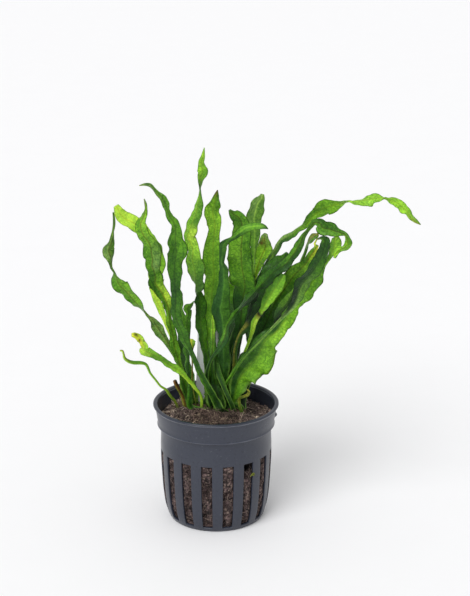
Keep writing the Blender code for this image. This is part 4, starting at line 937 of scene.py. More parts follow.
def fibre_grain():
    """Damp fibre: three browns picked by two sizes of noise, with a coarse relief."""
    tree, given, out = new_group(
        "fibre grain",
        (
            ("Dark", "Color", (0.02, 0.01, 0.01, 1)), ("Middle", "Color", (0.1, 0.05, 0.03, 1)),
            ("Tan", "Color", (0.3, 0.2, 0.1, 1)), ("Vector", "Vector", None),
        ),
        (("Colour", "Color"), ("Height", "Float")),
    )
    clumps = noise_value(tree, given["Vector"], 330.0, 5.0, 0.7, 0.6)
    strands = noise_value(tree, given["Vector"], 900.0, 4.0, 0.7, 1.5)
    base = mix(tree, mask(tree, clumps, 0.3, 0.56), given["Dark"], given["Middle"])
    crumb = cell_outputs(tree, given["Vector"], 950.0, feature="F1")
    chance = add(tree, "SeparateColor", {0: crumb["Color"]}).outputs
    shade = mask(tree, chance["Red"], 0.0, 1.0, 0.35, 1.9)
    gap = mask(tree, crumb["Distance"], 0.35, 0.75, 1.0, 0.45)
    base = multiplied(tree, base, times(tree, shade, gap))
    flecks = times(tree, mask(tree, strands, 0.52, 0.68), mask(tree, clumps, 0.4, 0.6, 0.25, 0.85))
    middle = mask(tree, crumb["Distance"], 0.3, 0.6, 1.0, 0.2)
    chunk = times(tree, mask(tree, chance["Green"], 0.74, 0.84, 0.0, 0.6), middle)
    flecks = maths(tree, "MAXIMUM", flecks, chunk)
    tree.links.new(mix(tree, flecks, base, given["Tan"]), out["Colour"])
    rough_height = maths(tree, "MULTIPLY_ADD", clumps, 1.2, strands)
    tree.links.new(maths(tree, "MULTIPLY_ADD", crumb["Distance"], -0.9, rough_height), out["Height"])
    return tree


def leaf_material(slot, pattern):
    """A satin leaf: its tint and its place on the blade are the piece's own attributes."""
    veins, mottle, rim, gloss, shift = LEAF_FINISHES[slot]
    material, tree = new_material(slot)
    tint_from = add(tree, "Attribute", attribute_name="leaf_tint").outputs["Color"]
    place = add(tree, "Attribute", attribute_name="leaf_place").outputs["Vector"]
    marks = add(tree, "Attribute", attribute_name="leaf_marks").outputs["Vector"]
    found = use_group(tree, pattern, {
        "Tint": tint_from, "Place": place, "Marks": marks,
        "Vein Depth": veins, "Mottle": mottle, "Edge Dark": rim, "Gloss": gloss, "Rib Shift": shift,
    })
    finish_material(
        tree, found["Colour"], found["Roughness"], found["Height"], bump=0.09, Specular_IOR_Level=0.18,
        Subsurface_Weight=0.12, Subsurface_Radius=(0.6, 1.0, 0.25), Subsurface_Scale=0.0008,
    )
    return material


def plastic_material(name, display, mottle, patches, specks, gloss, bump, highlight_bands=()):
    """Moulded plastic of one colour with faint patches and specks, and with pale bands outside that are
    painted highlights.
    """
    material, tree = new_material(name)
    vector = add(tree, "TexCoord").outputs["Object"]
    found = use_group(tree, mottle, {
        "Colour": (*linear(display), 1), "Patch Colour": (*linear(np.array(display) * 0.5 + 0.3), 1),
        "Vector": vector, "Patches": patches, "Specks": specks, "Gloss": gloss,
    })
    place = add(tree, "SeparateXYZ", {0: vector}).outputs
    squares = [maths(tree, "POWER", place[axis], 2.0) for axis in (0, 1)]
    reach = maths(tree, "SQRT", maths(tree, "ADD", *squares))
    outside = mask(tree, reach, 0.0245, 0.0252)
    colour_from = found["Colour"]
    # Painted highlights: each band is a pale line on the outside only, broken up by noise
    for level, half, share in highlight_bands:
        off = maths(tree, "ABSOLUTE", maths(tree, "SUBTRACT", place[2], level))
        line = times(tree, mask(tree, off, half * 0.4, half, share, 0.0), outside)
        line = times(tree, line, mask(tree, noise_value(tree, vector, 60.0, 2.0), 0.35, 0.6, 0.35, 1.0))
        colour_from = mix(tree, line, colour_from, (0.42, 0.45, 0.52))
    finish_material(tree, colour_from, found["Roughness"], found["Height"], bump)
    return material


def soil_material(name, grain, soil, from_attribute):
    """Fibre soil, or loose fibres whose tint is their own attribute."""
    material, tree = new_material(name)
    vector = add(tree, "TexCoord").outputs["Object"]
    found = use_group(tree, grain, {
        "Dark": (*linear(soil.dark), 1), "Middle": (*linear(soil.mid), 1), "Tan": (*linear(soil.tan), 1),
        "Vector": vector,
    })
    colour_from = found["Colour"]
    if from_attribute:
        own = add(tree, "Attribute", attribute_name="fibre_tint").outputs["Color"]
        colour_from = mix(tree, 0.3, own, found["Colour"])
    place = add(tree, "SeparateXYZ", {0: vector}).outputs
    # Painted light and shade, not damp and dry soil: the side is darkened and bluer, and the top is paler as
    # if lit, palest at the left and the right
    damp = multiplied(tree, colour_from, (0.76, 0.76, 0.92))
    dry = multiplied(tree, colour_from, (1.75, 1.8, 1.8))
    lit_at_sides = multiplied(tree, colour_from, (2.3, 2.5, 2.7))
    dry = mix(tree, mask(tree, maths(tree, "ABSOLUTE", place[0]), 0.008, 0.014), dry, lit_at_sides)
    colour_from = mix(tree, mask(tree, place[2], 0.039, 0.044), damp, dry)
    # Painted shade: round the hollow's middle the colour is darkened to about an eighth
    off = add(tree, "VectorMath", {0: vector, 1: HOLLOW_SHADE_MIDDLE}, operation="DISTANCE").outputs["Value"]
    deep = multiplied(tree, colour_from, (0.12, 0.12, 0.14))
    colour_from = mix(tree, mask(tree, off, 0.0022, 0.0034), deep, colour_from)
    finish_material(
        tree, colour_from, None, found["Height"], bump=0.35, Roughness=0.85, Specular_IOR_Level=0.25
    )
    return material


def bark_material(rhizome, mottle):
    material, tree = new_material("rhizome")
    vector = add(tree, "TexCoord").outputs["Object"]
    found = use_group(tree, mottle, {
        "Colour": (*linear(rhizome.bark), 1), "Patch Colour": (0.10, 0.06, 0.03, 1), "Vector": vector,
        "Patch Scale": 260.0, "Speck Scale": 1500.0, "Patches": 0.9, "Specks": 0.5, "Gloss": 0.75,
    })
    finish_material(tree, found["Colour"], found["Roughness"], found["Height"], bump=0.3)
    return material


def along_rhizome(share):
    """Points at these shares of the rhizome's straight middle line."""
    return RHIZOME_LEFT + np.multiply.outer(share, RHIZOME_RIGHT - RHIZOME_LEFT)


def rhizome_axis(across):
    """The point of the rhizome's middle line at this distance across."""
    return along_rhizome((across - RHIZOME_LEFT[0]) / (RHIZOME_RIGHT[0] - RHIZOME_LEFT[0]))


def on_plane(pixels):
    """Pixels of the photograph as mm across and up on the upright plane through the pot's axis.

    The line of sight through a pixel is tilted by the view's pitch and followed until its Y is zero.
    """
    across = (pixels[:, 0] - FRAME_WIDTH / 2) / VIEW_FOCAL
    up = (FRAME_HEIGHT / 2 - pixels[:, 1]) / VIEW_FOCAL
    pitch = radians(VIEW_PITCH)
    steps = -VIEWPOINT[1] / (cos(pitch) + up * sin(pitch))
    rise = up * cos(pitch) - sin(pitch)
    return np.column_stack([VIEWPOINT[0] + steps * across, VIEWPOINT[2] + steps * rise])


def reach_of_edge(middle, way, edge, plain, wide):
    """Distance from each middle point to an edge line, measured along way, which is square to the leaf.

    Of the six stretches of the edge nearest in the list, those that the way crosses are kept, and of these
    the one whose distance is closest to the plain one. Where none is crossed, the plain distance holds.
    """
    square = np.column_stack([-way[:, 1], way[:, 0]])
    near = np.clip(np.arange(len(edge))[:, None] + np.arange(-3, 3), 0, len(edge) - 2)
    start, end = edge[near] - middle[:, None], edge[near + 1] - middle[:, None]
    off_start, off_end = (np.einsum("ijk,ik->ij", ends, square) for ends in (start, end))
    crossed = (off_start * off_end <= 0) & (np.abs(off_start - off_end) > 1e-9)
    share = np.where(crossed, off_start / np.where(crossed, off_start - off_end, 1), 0)
    found = np.einsum("ijk,ik->ij", start + share[..., None] * (end - start), way)
    crossed &= found > -0.2 * wide[:, None]
    best = np.argmin(np.where(crossed, np.abs(found - plain[:, None]), np.inf), axis=1)
    reach = np.where(crossed.any(axis=1), found[np.arange(len(edge)), best], plain)
    return np.clip(reach, 0.1, 0.95 * wide + 0.4)


def drawn_rows(drawn):
    """Across, height, depth, both half widths (mm) and turn (degrees) of a leaf's midrib at each of its rows.

    The leaf's line is the middle of its rows, evened where the neighbouring rows are near. The midrib divides
    the width square to that line by its share. A width is drawn as seen, so it is divided by the cosine of
    the turn, and it grows with the distance from the viewpoint.
    """
    left, right = (on_plane(np.array([row[k:k + 2] for row in drawn.edges], float)) for k in (0, 2))
    middle = (left + right) / 2
    near = np.linalg.norm(middle[2:] - middle[:-2], axis=1, keepdims=True) < EVENED_WITHIN
    for _ in range(drawn.evened):
        middle[1:-1] = np.where(near, evened(middle), middle[1:-1])
    at = distances(middle)
    known = [k for k, row in enumerate(drawn.edges) if len(row) > 4]
    marks = np.array([drawn.edges[k][4:] for k in known], float)
    depth, turn = (np.interp(at, at[known], marks[:, column]) for column in (0, 1))
    ahead = np.vstack([middle[1:], middle[-1:]]) - np.vstack([middle[:1], middle[:-1]])
    apart = right - left
    wide = np.linalg.norm(apart, axis=1)
    way = unit(np.column_stack([ahead[:, 1], -ahead[:, 0]]))
    facing = np.einsum("ij,ij->i", way, apart)
    way = np.where(((facing < 0) & (wide > 0.4))[:, None], -way, way)
    to_left = reach_of_edge(middle, -way, left, np.einsum("ij,ij->i", middle - left, way), wide)
    to_right = reach_of_edge(middle, way, right, np.einsum("ij,ij->i", right - middle, way), wide)
    whole = to_left + to_right
    middle = middle + way * (drawn.rib * whole - to_left)[:, None]
    cosine = np.cos(np.radians(turn))
    whole = whole * (1 - depth / VIEWPOINT[1]) / np.maximum(np.abs(cosine), 0.5)
    share = np.where(cosine < 0, 1 - drawn.rib, drawn.rib)
    return np.column_stack([middle, depth, share * whole, (1 - share) * whole, turn])


def slid_to_depth(points):
    """Drawing points slid along the line of sight until their Y is their depth."""
    drawn = np.column_stack([points[:, 0], np.zeros(len(points)), points[:, 1]])
    share = (points[:, 2] - VIEWPOINT[1]) / (0 - VIEWPOINT[1])
    return VIEWPOINT + (drawn - VIEWPOINT) * share[:, None]


def leaf_line(drawn, leaf):
    """Centre, widths to both sides, turn and distance along a leaf, from inside the rhizome to its tip.

    The centre and the turn follow a cubic through the drawn rows. The widths go straight from row to row, so
    that corners of the outline stay crisp, and are averaged over three rows.
    """
    table = drawn_rows(drawn)
    angle = radians(FOOT_ROWS[drawn.row])
    out = np.array([0, sin(angle), cos(angle)])
    axis = rhizome_axis(drawn.foot)
    places = np.vstack([axis + out * ROOT_DEPTH, axis + out * FOOT_HEIGHT, slid_to_depth(table)])
    first = np.minimum(table[0, 3:5], leaf.stalk / MM)
    widths = np.vstack([first, first, table[:, 3:5]])
    turns = np.concatenate([[table[0, 5]] * 2, table[:, 5]])
    knots = distances(places)
    at = np.linspace(0, knots[-1], max(12, round(knots[-1] / (leaf.pitch / MM))))
    read = smooth_through(knots, np.column_stack([places, turns]), at)
    wide = np.column_stack([np.interp(at, knots, widths[:, k]) for k in range(2)])
    wide = evened(np.vstack([wide[:1], wide, wide[-1:]]))
    return read[:, :3], np.clip(wide, 0.12, None), np.radians(read[:, 3]), at


def leaf_frames(places, turns, at):
    """Directions across and to the upper side: square to the leaf and the line of sight, then turned."""
    along = unit(np.gradient(places, at, axis=0))
    across = unit(np.cross(places - VIEWPOINT, along))
    upper = np.cross(across, along)
    cosine, sine = np.cos(turns)[:, None], np.sin(turns)[:, None]
    return across * cosine + upper * sine, upper * cosine - across * sine


def leaf_tints(shades, share, u, under, leaf):
    """Tint at each point: read along the leaf for both halves, eased across the midrib, greyer underneath."""
    stops = [row[0] for row in shades]
    halves = []
    for side in (1, -1):
        colours = np.array([linear(getattr(leaf, row[side])) for row in shades])
        halves.append(np.stack([np.interp(share, stops, colours[:, k]) for k in range(3)], axis=-1))
    # The tints paint light and shade with the leaf's colour, so that a lit half and a shaded half can differ
    right = ease(-0.3, 0.3, u)[None, :, None]
    tints = halves[0][:, None] * (1 - right) + halves[1][:, None] * right
    pale = 0.9 * tints + 0.1 * linear(leaf.grey)
    return np.where(under[None, :, None], pale, tints)


def spotted(tints, spots, s, x, leaf):
    """Mixes each spot's tint in by a bell curve of the distance from its middle."""
    for place, across, radius, colour_name in spots:
        away = np.hypot(s - place * s[-1, 0], x - across)
        weight = np.exp(-((away / radius) ** 2))[..., None]
        tints = tints * (1 - weight) + linear(getattr(leaf, colour_name)) * weight
    return tints


def make_leaf(name, drawn, leaf, material, seed):
    """One leaf: sections across the blade at every station, closed round a thin edge.

    Across the blade u runs from -1 to 1. The height of the middle surface is a shallow fold, plus edge waves
    that grow as |u| to the 1.7, plus a quilt between the side veins. Above and below it lies the blade's own
    thickness, a half ellipse in u, and a midrib with a bell-shaped section. Towards the foot the section
    changes into the round one of a stalk. The outline has cusps of 0.6 less |sin|, and two sizes of noise.
    """
    centre, wide, turn, at = leaf_line(drawn, leaf)
    across, upper = leaf_frames(centre, turn, at)
    rows = len(at)
    top = np.linspace(-1, 1, leaf.columns)
    u = np.concatenate([top, top[-2:0:-1]])
    under = np.concatenate([np.zeros(leaf.columns, bool), np.ones(leaf.columns - 2, bool)])
    s = np.repeat(at[:, None], len(u), axis=1)
    side = np.where(u < 0, 0, 1)
    own = wide[:, side]
    h = wide.mean(axis=1)[:, None]
    stalk_half = leaf.stalk / MM / 2
    blade = ease(0.0, 1.0, (h - stalk_half * 0.9) / 1.3)
    rng = np.random.default_rng(seed)
    edge = np.zeros((rows, 2))
    wave = np.zeros((rows, 2))
    length_of_wave = rng.uniform(8.5, 12.5)
    for k in range(2):
        edge[:, k] = 0.2 * noise_along(at, 2.4, seed + 5 + k) + 0.14 * noise_along(at, 1.1, seed + 9 + k)
        drift = 0.35 * noise_along(at, 14.0, seed + 20 + k)
        edge[:, k] += 0.3 * (0.6 - np.abs(np.sin(pi * (at / 6.3 + drift * 1.6 + 0.37 * k + 0.13 * seed))))
        wave[:, k] = tau * (at / length_of_wave + drift) + rng.uniform(0, tau)
    x = u * (own + edge[:, side] * blade * np.abs(u) ** 1.5)
    size = np.abs(u)
    lift = 0.12 * own * size
    lift = lift + own * leaf.ruffle * size**1.7 * np.sin(wave[:, side] + 0.7 * size)
    lift = lift + own * 0.055 * size**3 * np.sin(wave[:, side] * 2.3 + 1.0)
    on_blade = np.stack([s, x, s * 0], axis=-1)
    slant = (s - VEIN_SLANT * np.abs(x)) / VEIN_PITCH + 0.25 * noise(on_blade, 5.0, seed)
    quilt = np.abs(np.sin(pi * (slant + side * 0.4)))
    lift = lift + 0.22 * (quilt**0.6 - 0.6) * np.sqrt(size) * (1 - size**6)
    lift = lift + 0.05 * noise(on_blade, 1.1, seed + 40)
    lift = lift * blade
    rib_width = 0.5
    share = at / at[-1]
    rib_height = stalk_half * (1 - 0.8 * ease(0.25, 1.0, share))[:, None] * np.minimum(1, h / stalk_half)
    bell = np.exp(-((x / rib_width) ** 2))
    round_part = np.sqrt(np.clip(1 - u**2, 0, 1))
    flat = leaf.thickness / MM / 2 * round_part + rib_height * bell * np.where(under, 0.75, 0.25) * round_part
    stem = np.minimum(h, stalk_half) * 0.9 * round_part
    thick = blade * flat + (1 - blade) * stem
    out = lift + np.where(under, -thick, thick)
    places = centre[:, None] + across[:, None] * x[..., None] + upper[:, None] * out[..., None]
    tints = leaf_tints(drawn.shades, share, u, under, leaf)
    tints = spotted(tints, drawn.spots, s, x, leaf)
    tints = np.concatenate([tints, np.ones((*tints.shape[:2], 1))], axis=-1)
    place = np.stack([s, x, np.full_like(s, seed * 1.7)], axis=-1)
    marks = np.stack(np.broadcast_arrays(size, share[:, None], under * 1.0), axis=-1)
    ends = (0, rows - 1)
    full = {"leaf_tint": tints, "leaf_place": place, "leaf_marks": marks}
    flatten = {key: np.vstack([v.reshape(-1, v.shape[-1]), v[ends, 0]]) for key, v in full.items()}
    points = np.vstack([places.reshape(-1, 3), centre[list(ends)]])
    mesh = make_mesh(f"{name}_blade", points, ring_quads(rows, len(u)), end_caps(rows, len(u)), flatten)
    return add_piece(f"{name}_blade", mesh, material, name)


def wall_lines(pot):
    """Outlines of the wall as (radius, height) in mm: outer collar, slots and base, inner collar and base."""
    rim, top, wall = pot.rim_radius / MM, pot.height / MM, pot.wall / MM
    low = pot.slot_top / MM + 1.6
    outer_drops = (
        (1.1, 0), (0.4, 0.02), (0.1, 0.2), (0, 0.55), (0.12, 0.9), (0.45, 1.15), (0.8, 1.35), (1.0, 1.8),
        (1.1, 2.6), (1.6, 6.0), (1.9, 8.7), (1.88, 9.05), (1.68, 9.35), (1.72, 9.6), (2.25, 9.85),
        (2.8, 10.05), (3.0, 10.35), (3.1, 11.0),
    )
    inner_drops = (
        (1.1, 0), (1.5, 0.05), (1.8, 0.25), (1.95, 0.8), (2.1, 2.5), (2.6, 6.0), (3.0, 9.6), (3.7, 10.7),
        (4.1, 11.7),
    )
    outer_collar, inner_collar = (
        [(rim - inward, top - drop) for inward, drop in drops] + [(rim - drops[-1][0], low)]
        for drops in (outer_drops, inner_drops)
    )
    outer_slots = [
        (rim - 3.1, low), (rim - 3.1, 30.0), (rim - 3.5, 20.0), (rim - 4.2, 10.5),
        (rim - 5.0, 5.2), (rim - 6.0, 2.0), (rim - 6.6, 0.7),
    ]
    outer_base = [(rim - 6.6, 0.7), (rim - 6.95, 0.2), (rim - 7.5, 0.0), (rim - 8.6, 0.0), (0.05, 0.0)]
    inner_base = [(rim - 8.6, 1.05), (rim - 10.0, wall), (0.05, wall)]
    return outer_collar, outer_slots, outer_base, inner_collar, inner_base


def along_line(points, at_share):
    """A smooth line through the points, read at shares of its length."""
    places = np.array(points, float)
    knots = distances(places)
    return smooth_through(knots, places, np.asarray(at_share) * knots[-1])


def spacing_with_edges(low, high, edges, pitch, radius):
    """Values from low to high about a pitch apart, with extra ones at the edges for their rounding."""
    values = [np.linspace(low, high, max(2, round((high - low) / pitch) + 1))]
    steps = radius * np.array([0.0, 0.15, 0.4, 0.75, 1.0])
    values += [edge + sign * steps for edge, sign in edges]
    joined = np.unique(np.round(np.concatenate(values), 5))
    keep = np.ones(len(joined), bool)
    fixed = np.concatenate([edge + sign * steps for edge, sign in edges])
    close = np.diff(joined) < radius * 0.12
    free = ~np.isin(np.round(joined, 5), np.round(fixed, 5))
    keep[1:] &= ~(close & free[1:])
    keep[:-1] &= ~(close & free[:-1])
    return joined[keep]


def make_pot(pot, material):
    """The wall as an outer and an inner sheet over one grid of angle and height.

    Cells inside a slot are left out of both sheets, and a strip joins the sheets along every slot's border.
    Near a border the sheets dip by r - sqrt(r^2 - (r - d)^2), the section of a rounded edge, where d is the
    distance to the border and r the radius.
    """
    radius = pot.edge / MM
    outer_collar, outer_slots, outer_base, inner_collar, inner_base = wall_lines(pot)
    slot_line = np.array(outer_slots)
    slot_length = distances(slot_line)[-1]
    shares = np.linspace(0, 1, 400)
    heights = along_line(outer_slots, shares)[:, 1]
    top_at = np.interp(-pot.slot_top / MM, -heights, shares) * slot_length
    end_at = np.interp(-pot.slot_end / MM, -heights, shares) * slot_length
    down = spacing_with_edges(0, slot_length, ((top_at, -1), (end_at, 1)), 0.8, radius)
    collar_rows, base_rows = 56, 20
    collar_shares = np.linspace(0, 1, collar_rows)[:-1]
    base_shares = np.linspace(0, 1, base_rows)[1:] ** 1.3
    outer = [
        along_line(outer_collar, collar_shares),
        along_line(outer_slots, down / slot_length),
        along_line(outer_base, base_shares),
    ]
    slots_out = outer[1]
    tangent = unit(np.gradient(slots_out, axis=0))
    normal = np.column_stack([-tangent[:, 1], tangent[:, 0]])
    wall = pot.wall / MM
    inner = [
        along_line(inner_collar, collar_shares),
        slots_out - normal * wall,
        along_line([slots_out[-1] - normal[-1] * wall, *inner_base], base_shares),
    ]
    outer, inner = np.vstack(outer), np.vstack(inner)
    pitch = 360 / pot.slots
    arc = radians(pitch) * WALL_RADIUS
    half_rib = pitch / 4
    edge_angle = np.degrees(radius / WALL_RADIUS)
    local = spacing_with_edges(0, pitch, ((half_rib, -1), (3 * half_rib, 1)), pitch / 12, edge_angle)[:-1]
    angles = (radians(pitch) * np.arange(pot.slots)[:, None] + np.radians(local)[None, :] + pot.turn).ravel()
    rows, columns = len(outer), len(angles)
    row_at = np.full(rows, -slot_length)
    first = collar_rows - 1
    row_at[first:first + len(down)] = down
    row_at[first + len(down):] = slot_length + 5
    local_all = np.tile(local, pot.slots)
    past_side = np.abs(local_all - pitch / 2) / pitch * arc - arc / 4
    past_ends = np.maximum(top_at - row_at, row_at - end_at)
    shrink = (outer[:, 0] / WALL_RADIUS)[:, None]
    away = np.hypot(np.maximum(past_side[None, :] * shrink, 0), np.maximum(past_ends, 0)[:, None])
    inside = (past_side[None, :] < -1e-4) & (past_ends[:, None] < -1e-4)
    d = np.clip(away, 0, radius)
    dip = radius - np.sqrt(np.clip(radius**2 - (radius - d) ** 2, 0, None))
    dip = np.where(inside, radius, dip)
    tangent = unit(np.gradient(outer, axis=0))
    face_out = np.column_stack([-tangent[:, 1], tangent[:, 0]])
    nib_rows = np.exp(-(((outer[:, 1] - NIB_HEIGHT) / NIB_HALF_HEIGHT) ** 2))
    nib = nib_rows[:, None] * np.exp(-(((np.degrees(angles) - NIB_ANGLE) / NIB_HALF_ANGLE) ** 2))
    sheets = []
    for line, sign in ((outer, -1), (inner, 1)):
        place = line[:, None] + sign * dip[..., None] * face_out[:, None]
        if sign < 0:
            place = place + nib[..., None] * NIB_DEPTH * face_out[:, None]
        sheets.append(round_axis(place[..., 0], angles, place[..., 1]).reshape(-1, 3))
    cell_local = np.tile((local + np.append(local[1:], pitch)) / 2, pot.slots)
    cell_side = np.abs(cell_local - pitch / 2) < pitch / 4
    cell_row = (row_at[:-1] + row_at[1:]) / 2
    hole = cell_side[None, :] & ((cell_row > top_at) & (cell_row < end_at))[:, None]
    quads = ring_quads(rows, columns)
    solid = quads[~hole]
    count = rows * columns
    crest = np.arange(columns)
    lowest = crest + count - columns
    inner_of = np.arange(count) + count
    inner_of[crest] = crest
    strips = []
    right_hole = np.roll(hole, -1, axis=1)
    above, below = hole[:-1], hole[1:]
    for cells, at_border, corners in (
        (quads, ~hole & right_hole, (2, 1)), (quads, hole & ~right_hole, (1, 2)),
        (quads[:-1], ~above & below, (3, 2)), (quads[:-1], above & ~below, (2, 3)),
    ):
        edge_points = cells[at_border][:, corners]
        strips.append(np.column_stack([edge_points, inner_of[edge_points[:, ::-1]]]))
    faces = np.vstack([solid, inner_of[solid[:, ::-1]]] + strips)
    places = np.vstack(sheets + [[[0, 0, 0], [0, 0, wall]]])
    fans = np.vstack([cap(lowest, 2 * count), cap(inner_of[lowest[::-1]], 2 * count + 1)])
    used, place_of = np.unique(np.concatenate([faces.ravel(), fans.ravel()]), return_inverse=True)
    faces, fans = place_of[:faces.size].reshape(-1, 4), place_of[faces.size:].reshape(-1, 3)
    mesh = make_mesh("pot", places[used], faces, fans, sharp=50)
    return add_piece("slotted_pot", mesh, material, "net_pot")


def wall_inside(z):
    """Radius of the pot's inner wall at a height, read along its outline."""
    heights = np.array([0.0, 1.5, 2.0, 5.2, 10.5, 20.0, 30.0, 41.0, 42.5, 46.0, 49.5, 52.0])
    radii = np.array([18.5, 19.6, 20.4, 21.4, 22.3, 23.0, 23.4, 23.4, 24.0, 24.4, 24.8, 25.0])
    return np.interp(z, heights, radii)


def slot_window(angle, z, pot):
    """1 in the middle of a slot and 0 at the ribs, eased over a millimetre from every edge."""
    pitch = tau / pot.slots
    from_rib = np.abs(((angle - pot.turn) / pitch) % 1 - 0.5) * pitch
    side = ease(0.0, 1.1, (pitch / 4 - from_rib) * SOIL_RADIUS)
    return side * ease(0.0, 1.2, z - pot.slot_end / MM) * ease(0.0, 1.4, pot.slot_top / MM - z)


def soil_height(x, y, soil):
    """Level of the soil: a rise to the front, a bell-shaped ridge before the stalks, clumps and crumbs."""
    along = RIDGE_RIGHT - RIDGE_LEFT
    off_x, off_y = x - RIDGE_LEFT[0], y - RIDGE_LEFT[1]
    share = np.clip((off_x * along[0] + off_y * along[1]) / (along @ along), 0, 1)
    away = np.hypot(off_x - share * along[0], off_y - share * along[1])
    ridge = np.exp(-((away * MM / soil.ridge_spread) ** 2))
    flat = np.stack([x, y, np.zeros_like(x)], axis=-1)
    crumbs = 0.9 * noise(flat, 3.4, 3) + 0.75 * noise(flat, 1.7, 4) + 0.4 * noise(flat, 0.8, 5)
    front = np.clip(-y / SOIL_FRONT, 0, 1)
    return (soil.level + soil.front_rise * front + soil.ridge_height * ridge) / MM + crumbs


def make_soil(soil, pot, material):
    """A plug of damp fibre: rings out over its top, down its side and in under its base.

    The side stands just inside the pot's wall and swells by the slot window into each slot, less where it has
    crumbled away at the slot's lower end. Noise of three sizes breaks up the whole surface.
    """
    columns, top_rows, side_rows, base_rows = 336, 78, 96, 6
    angle = np.arange(columns) / columns * tau
    rings = np.linspace(0.004, 1, top_rows)[:, None]
    reach = wall_inside(SOIL_EDGE) - 0.15
    x, y = reach * rings * np.cos(angle), reach * rings * np.sin(angle)
    top = np.stack([x, y, soil_height(x, y, soil)], axis=-1)
    down = np.linspace(0, 1, side_rows)[1:, None]
    z = top[-1, :, 2] * (1 - down) + SOIL_FOOT * down
    cylinder = round_axis(23, angle, z)
    window = slot_window(angle, z, pot)
    eaten = ease(0.1, 0.75, noise(cylinder, 4.5, 31) + 0.55 * ease(9, 3, z))
    swell = 0.75 + 0.3 * noise(cylinder, 2.6, 32) + 0.35 * noise(cylinder, 1.1, 33)
    swell = swell + 0.2 * noise(cylinder, 0.6, 34)
    pitch = tau / pot.slots
    from_left = ((angle - pot.turn) / pitch) % 1 - 0.25
    sunk = ease(0.2, 0.06, from_left) * ease(20, 9, z) * ease(-0.25, 0.2, noise(cylinder, 9.0, 35))
    hollow = np.hypot((np.degrees(angle - tau) - HOLLOW_ANGLE) * 0.41 / 1.5, (z - HOLLOW_HEIGHT) / 2.4)
    radius = wall_inside(z) - 0.12 + window * (swell - 2.6 * eaten - 3.2 * sunk - 6.0 * np.exp(-(hollow**4)))
    side = round_axis(radius, angle, z)
    inward = np.linspace(0.9, 0.02, base_rows)[:, None]
    last_x, last_y = side[-1, :, :2].T
    under = np.stack(np.broadcast_arrays(last_x * inward, last_y * inward, SOIL_BASE), axis=-1)
    places = np.vstack([top, side, under])
    rows = len(places)
    points = np.vstack([places.reshape(-1, 3), [[0, 0, top[0, :, 2].mean()], [0, 0, SOIL_BASE]]])
    mesh = make_mesh("fibre_soil", points, ring_quads(rows, columns), end_caps(rows, columns))
    return add_piece("fibre_plug", mesh, material, "fibre_soil")


def tubes(lines, radii, tints):
    """Three-sided tubes along many lines at once, each pointed at both ends.

    lines is (count, stations, 3). At every station a triangle stands square to the line, and it shrinks as
    the square root of 4 t (1 - t) towards the ends.
    """
    count, stations = lines.shape[:2]
    along = unit(np.gradient(lines, axis=1))
    rough_up = np.where(np.abs(along[..., 2:]) > 0.9, [[[1.0, 0, 0]]], [[[0.0, 0, 1]]])
    side = unit(np.cross(along, rough_up))
    other = np.cross(side, along)
    t = np.linspace(0, 1, stations)
    size = radii[:, None] * (0.25 + 0.75 * np.sqrt(4 * t * (1 - t)))
    turns = np.arange(3) / 3 * tau
    ring = side[:, :, None] * np.cos(turns)[:, None] + other[:, :, None] * np.sin(turns)[:, None]
    places = (lines[:, :, None] + ring * size[..., None, None]).reshape(-1, 3)
    quads = ring_quads(stations, 3).reshape(-1, 4)
    one = np.arange(3)
    ends = np.array([one[::-1], one + (stations - 1) * 3])
    shift = (np.arange(count) * stations * 3)[:, None, None]
    colours = np.repeat(np.column_stack([tints, np.ones(count)]), stations * 3, axis=0)
    return places, quads + shift, (ends + shift).reshape(-1, 3), {"fibre_tint": colours}


def fibre_tints(rng, count, soil, shares):
    """One of the three browns for each fibre, a little lighter or darker than it is."""
    picked = rng.choice(3, count, p=shares)
    browns = np.array([linear(soil.dark), linear(soil.mid), linear(soil.tan)])
    return browns[picked] * rng.uniform(0.6, 1.35, (count, 1))


def make_top_fibres(soil, material):
    """Loose fibres on the soil: short arcs that follow its level, and a few that stand up from it."""
    rng = np.random.default_rng(71)
    count = soil.top_fibres
    t = np.linspace(0, 1, FIBRE_STATIONS)
    radius = FIBRE_REACH * np.sqrt(rng.uniform(0, 1, count))
    angle = rng.uniform(0, tau, count)
    start = np.stack([radius * np.cos(angle), radius * np.sin(angle)], axis=-1)
    crowd = rng.uniform(size=count) < 0.45
    share = rng.uniform(0, 1, count)
    ridge = CROWD_LEFT + share[:, None] * (CROWD_RIGHT - CROWD_LEFT) + rng.normal(0, 2.6, (count, 2))
    start = np.where(crowd[:, None], ridge, start)
    reach = rng.uniform(1.5, 6.5, count)
    heading = rng.uniform(0, tau, count)
    bend = rng.uniform(-1.6, 1.6, count)
    turn = heading[:, None] + bend[:, None] * t
    step = (reach / (FIBRE_STATIONS - 1))[:, None, None] * np.stack([np.cos(turn), np.sin(turn)], axis=-1)
    flat = start[:, None] + np.cumsum(step, axis=1) - step[:, :1]
    far = np.linalg.norm(flat, axis=-1, keepdims=True)
    flat = flat * np.minimum(1, FIBRE_LIMIT / far)
    level = soil_height(flat[..., 0], flat[..., 1], soil)
    stands = (rng.uniform(size=count) < 0.16)[:, None]
    arch = rng.uniform(0.2, 1.5, count)[:, None] * 4 * t * (1 - t)
    rise = np.where(stands, rng.uniform(1.0, 3.6, count)[:, None] * t**0.8 - 0.2, arch - 0.1)
    smooth_level = level.mean(axis=1, keepdims=True) * 0.6 + level * 0.4
    z = np.maximum(smooth_level + rise, level - 0.15)
    lines = np.concatenate([flat, z[..., None]], axis=-1)
    radii = rng.uniform(0.05, 0.15, count)
    tints = fibre_tints(rng, count, soil, (0.56, 0.38, 0.06))
    mesh = make_mesh("top_fibres", *tubes(lines, radii, tints))
    return add_piece("soil_top_fibres", mesh, material, None)


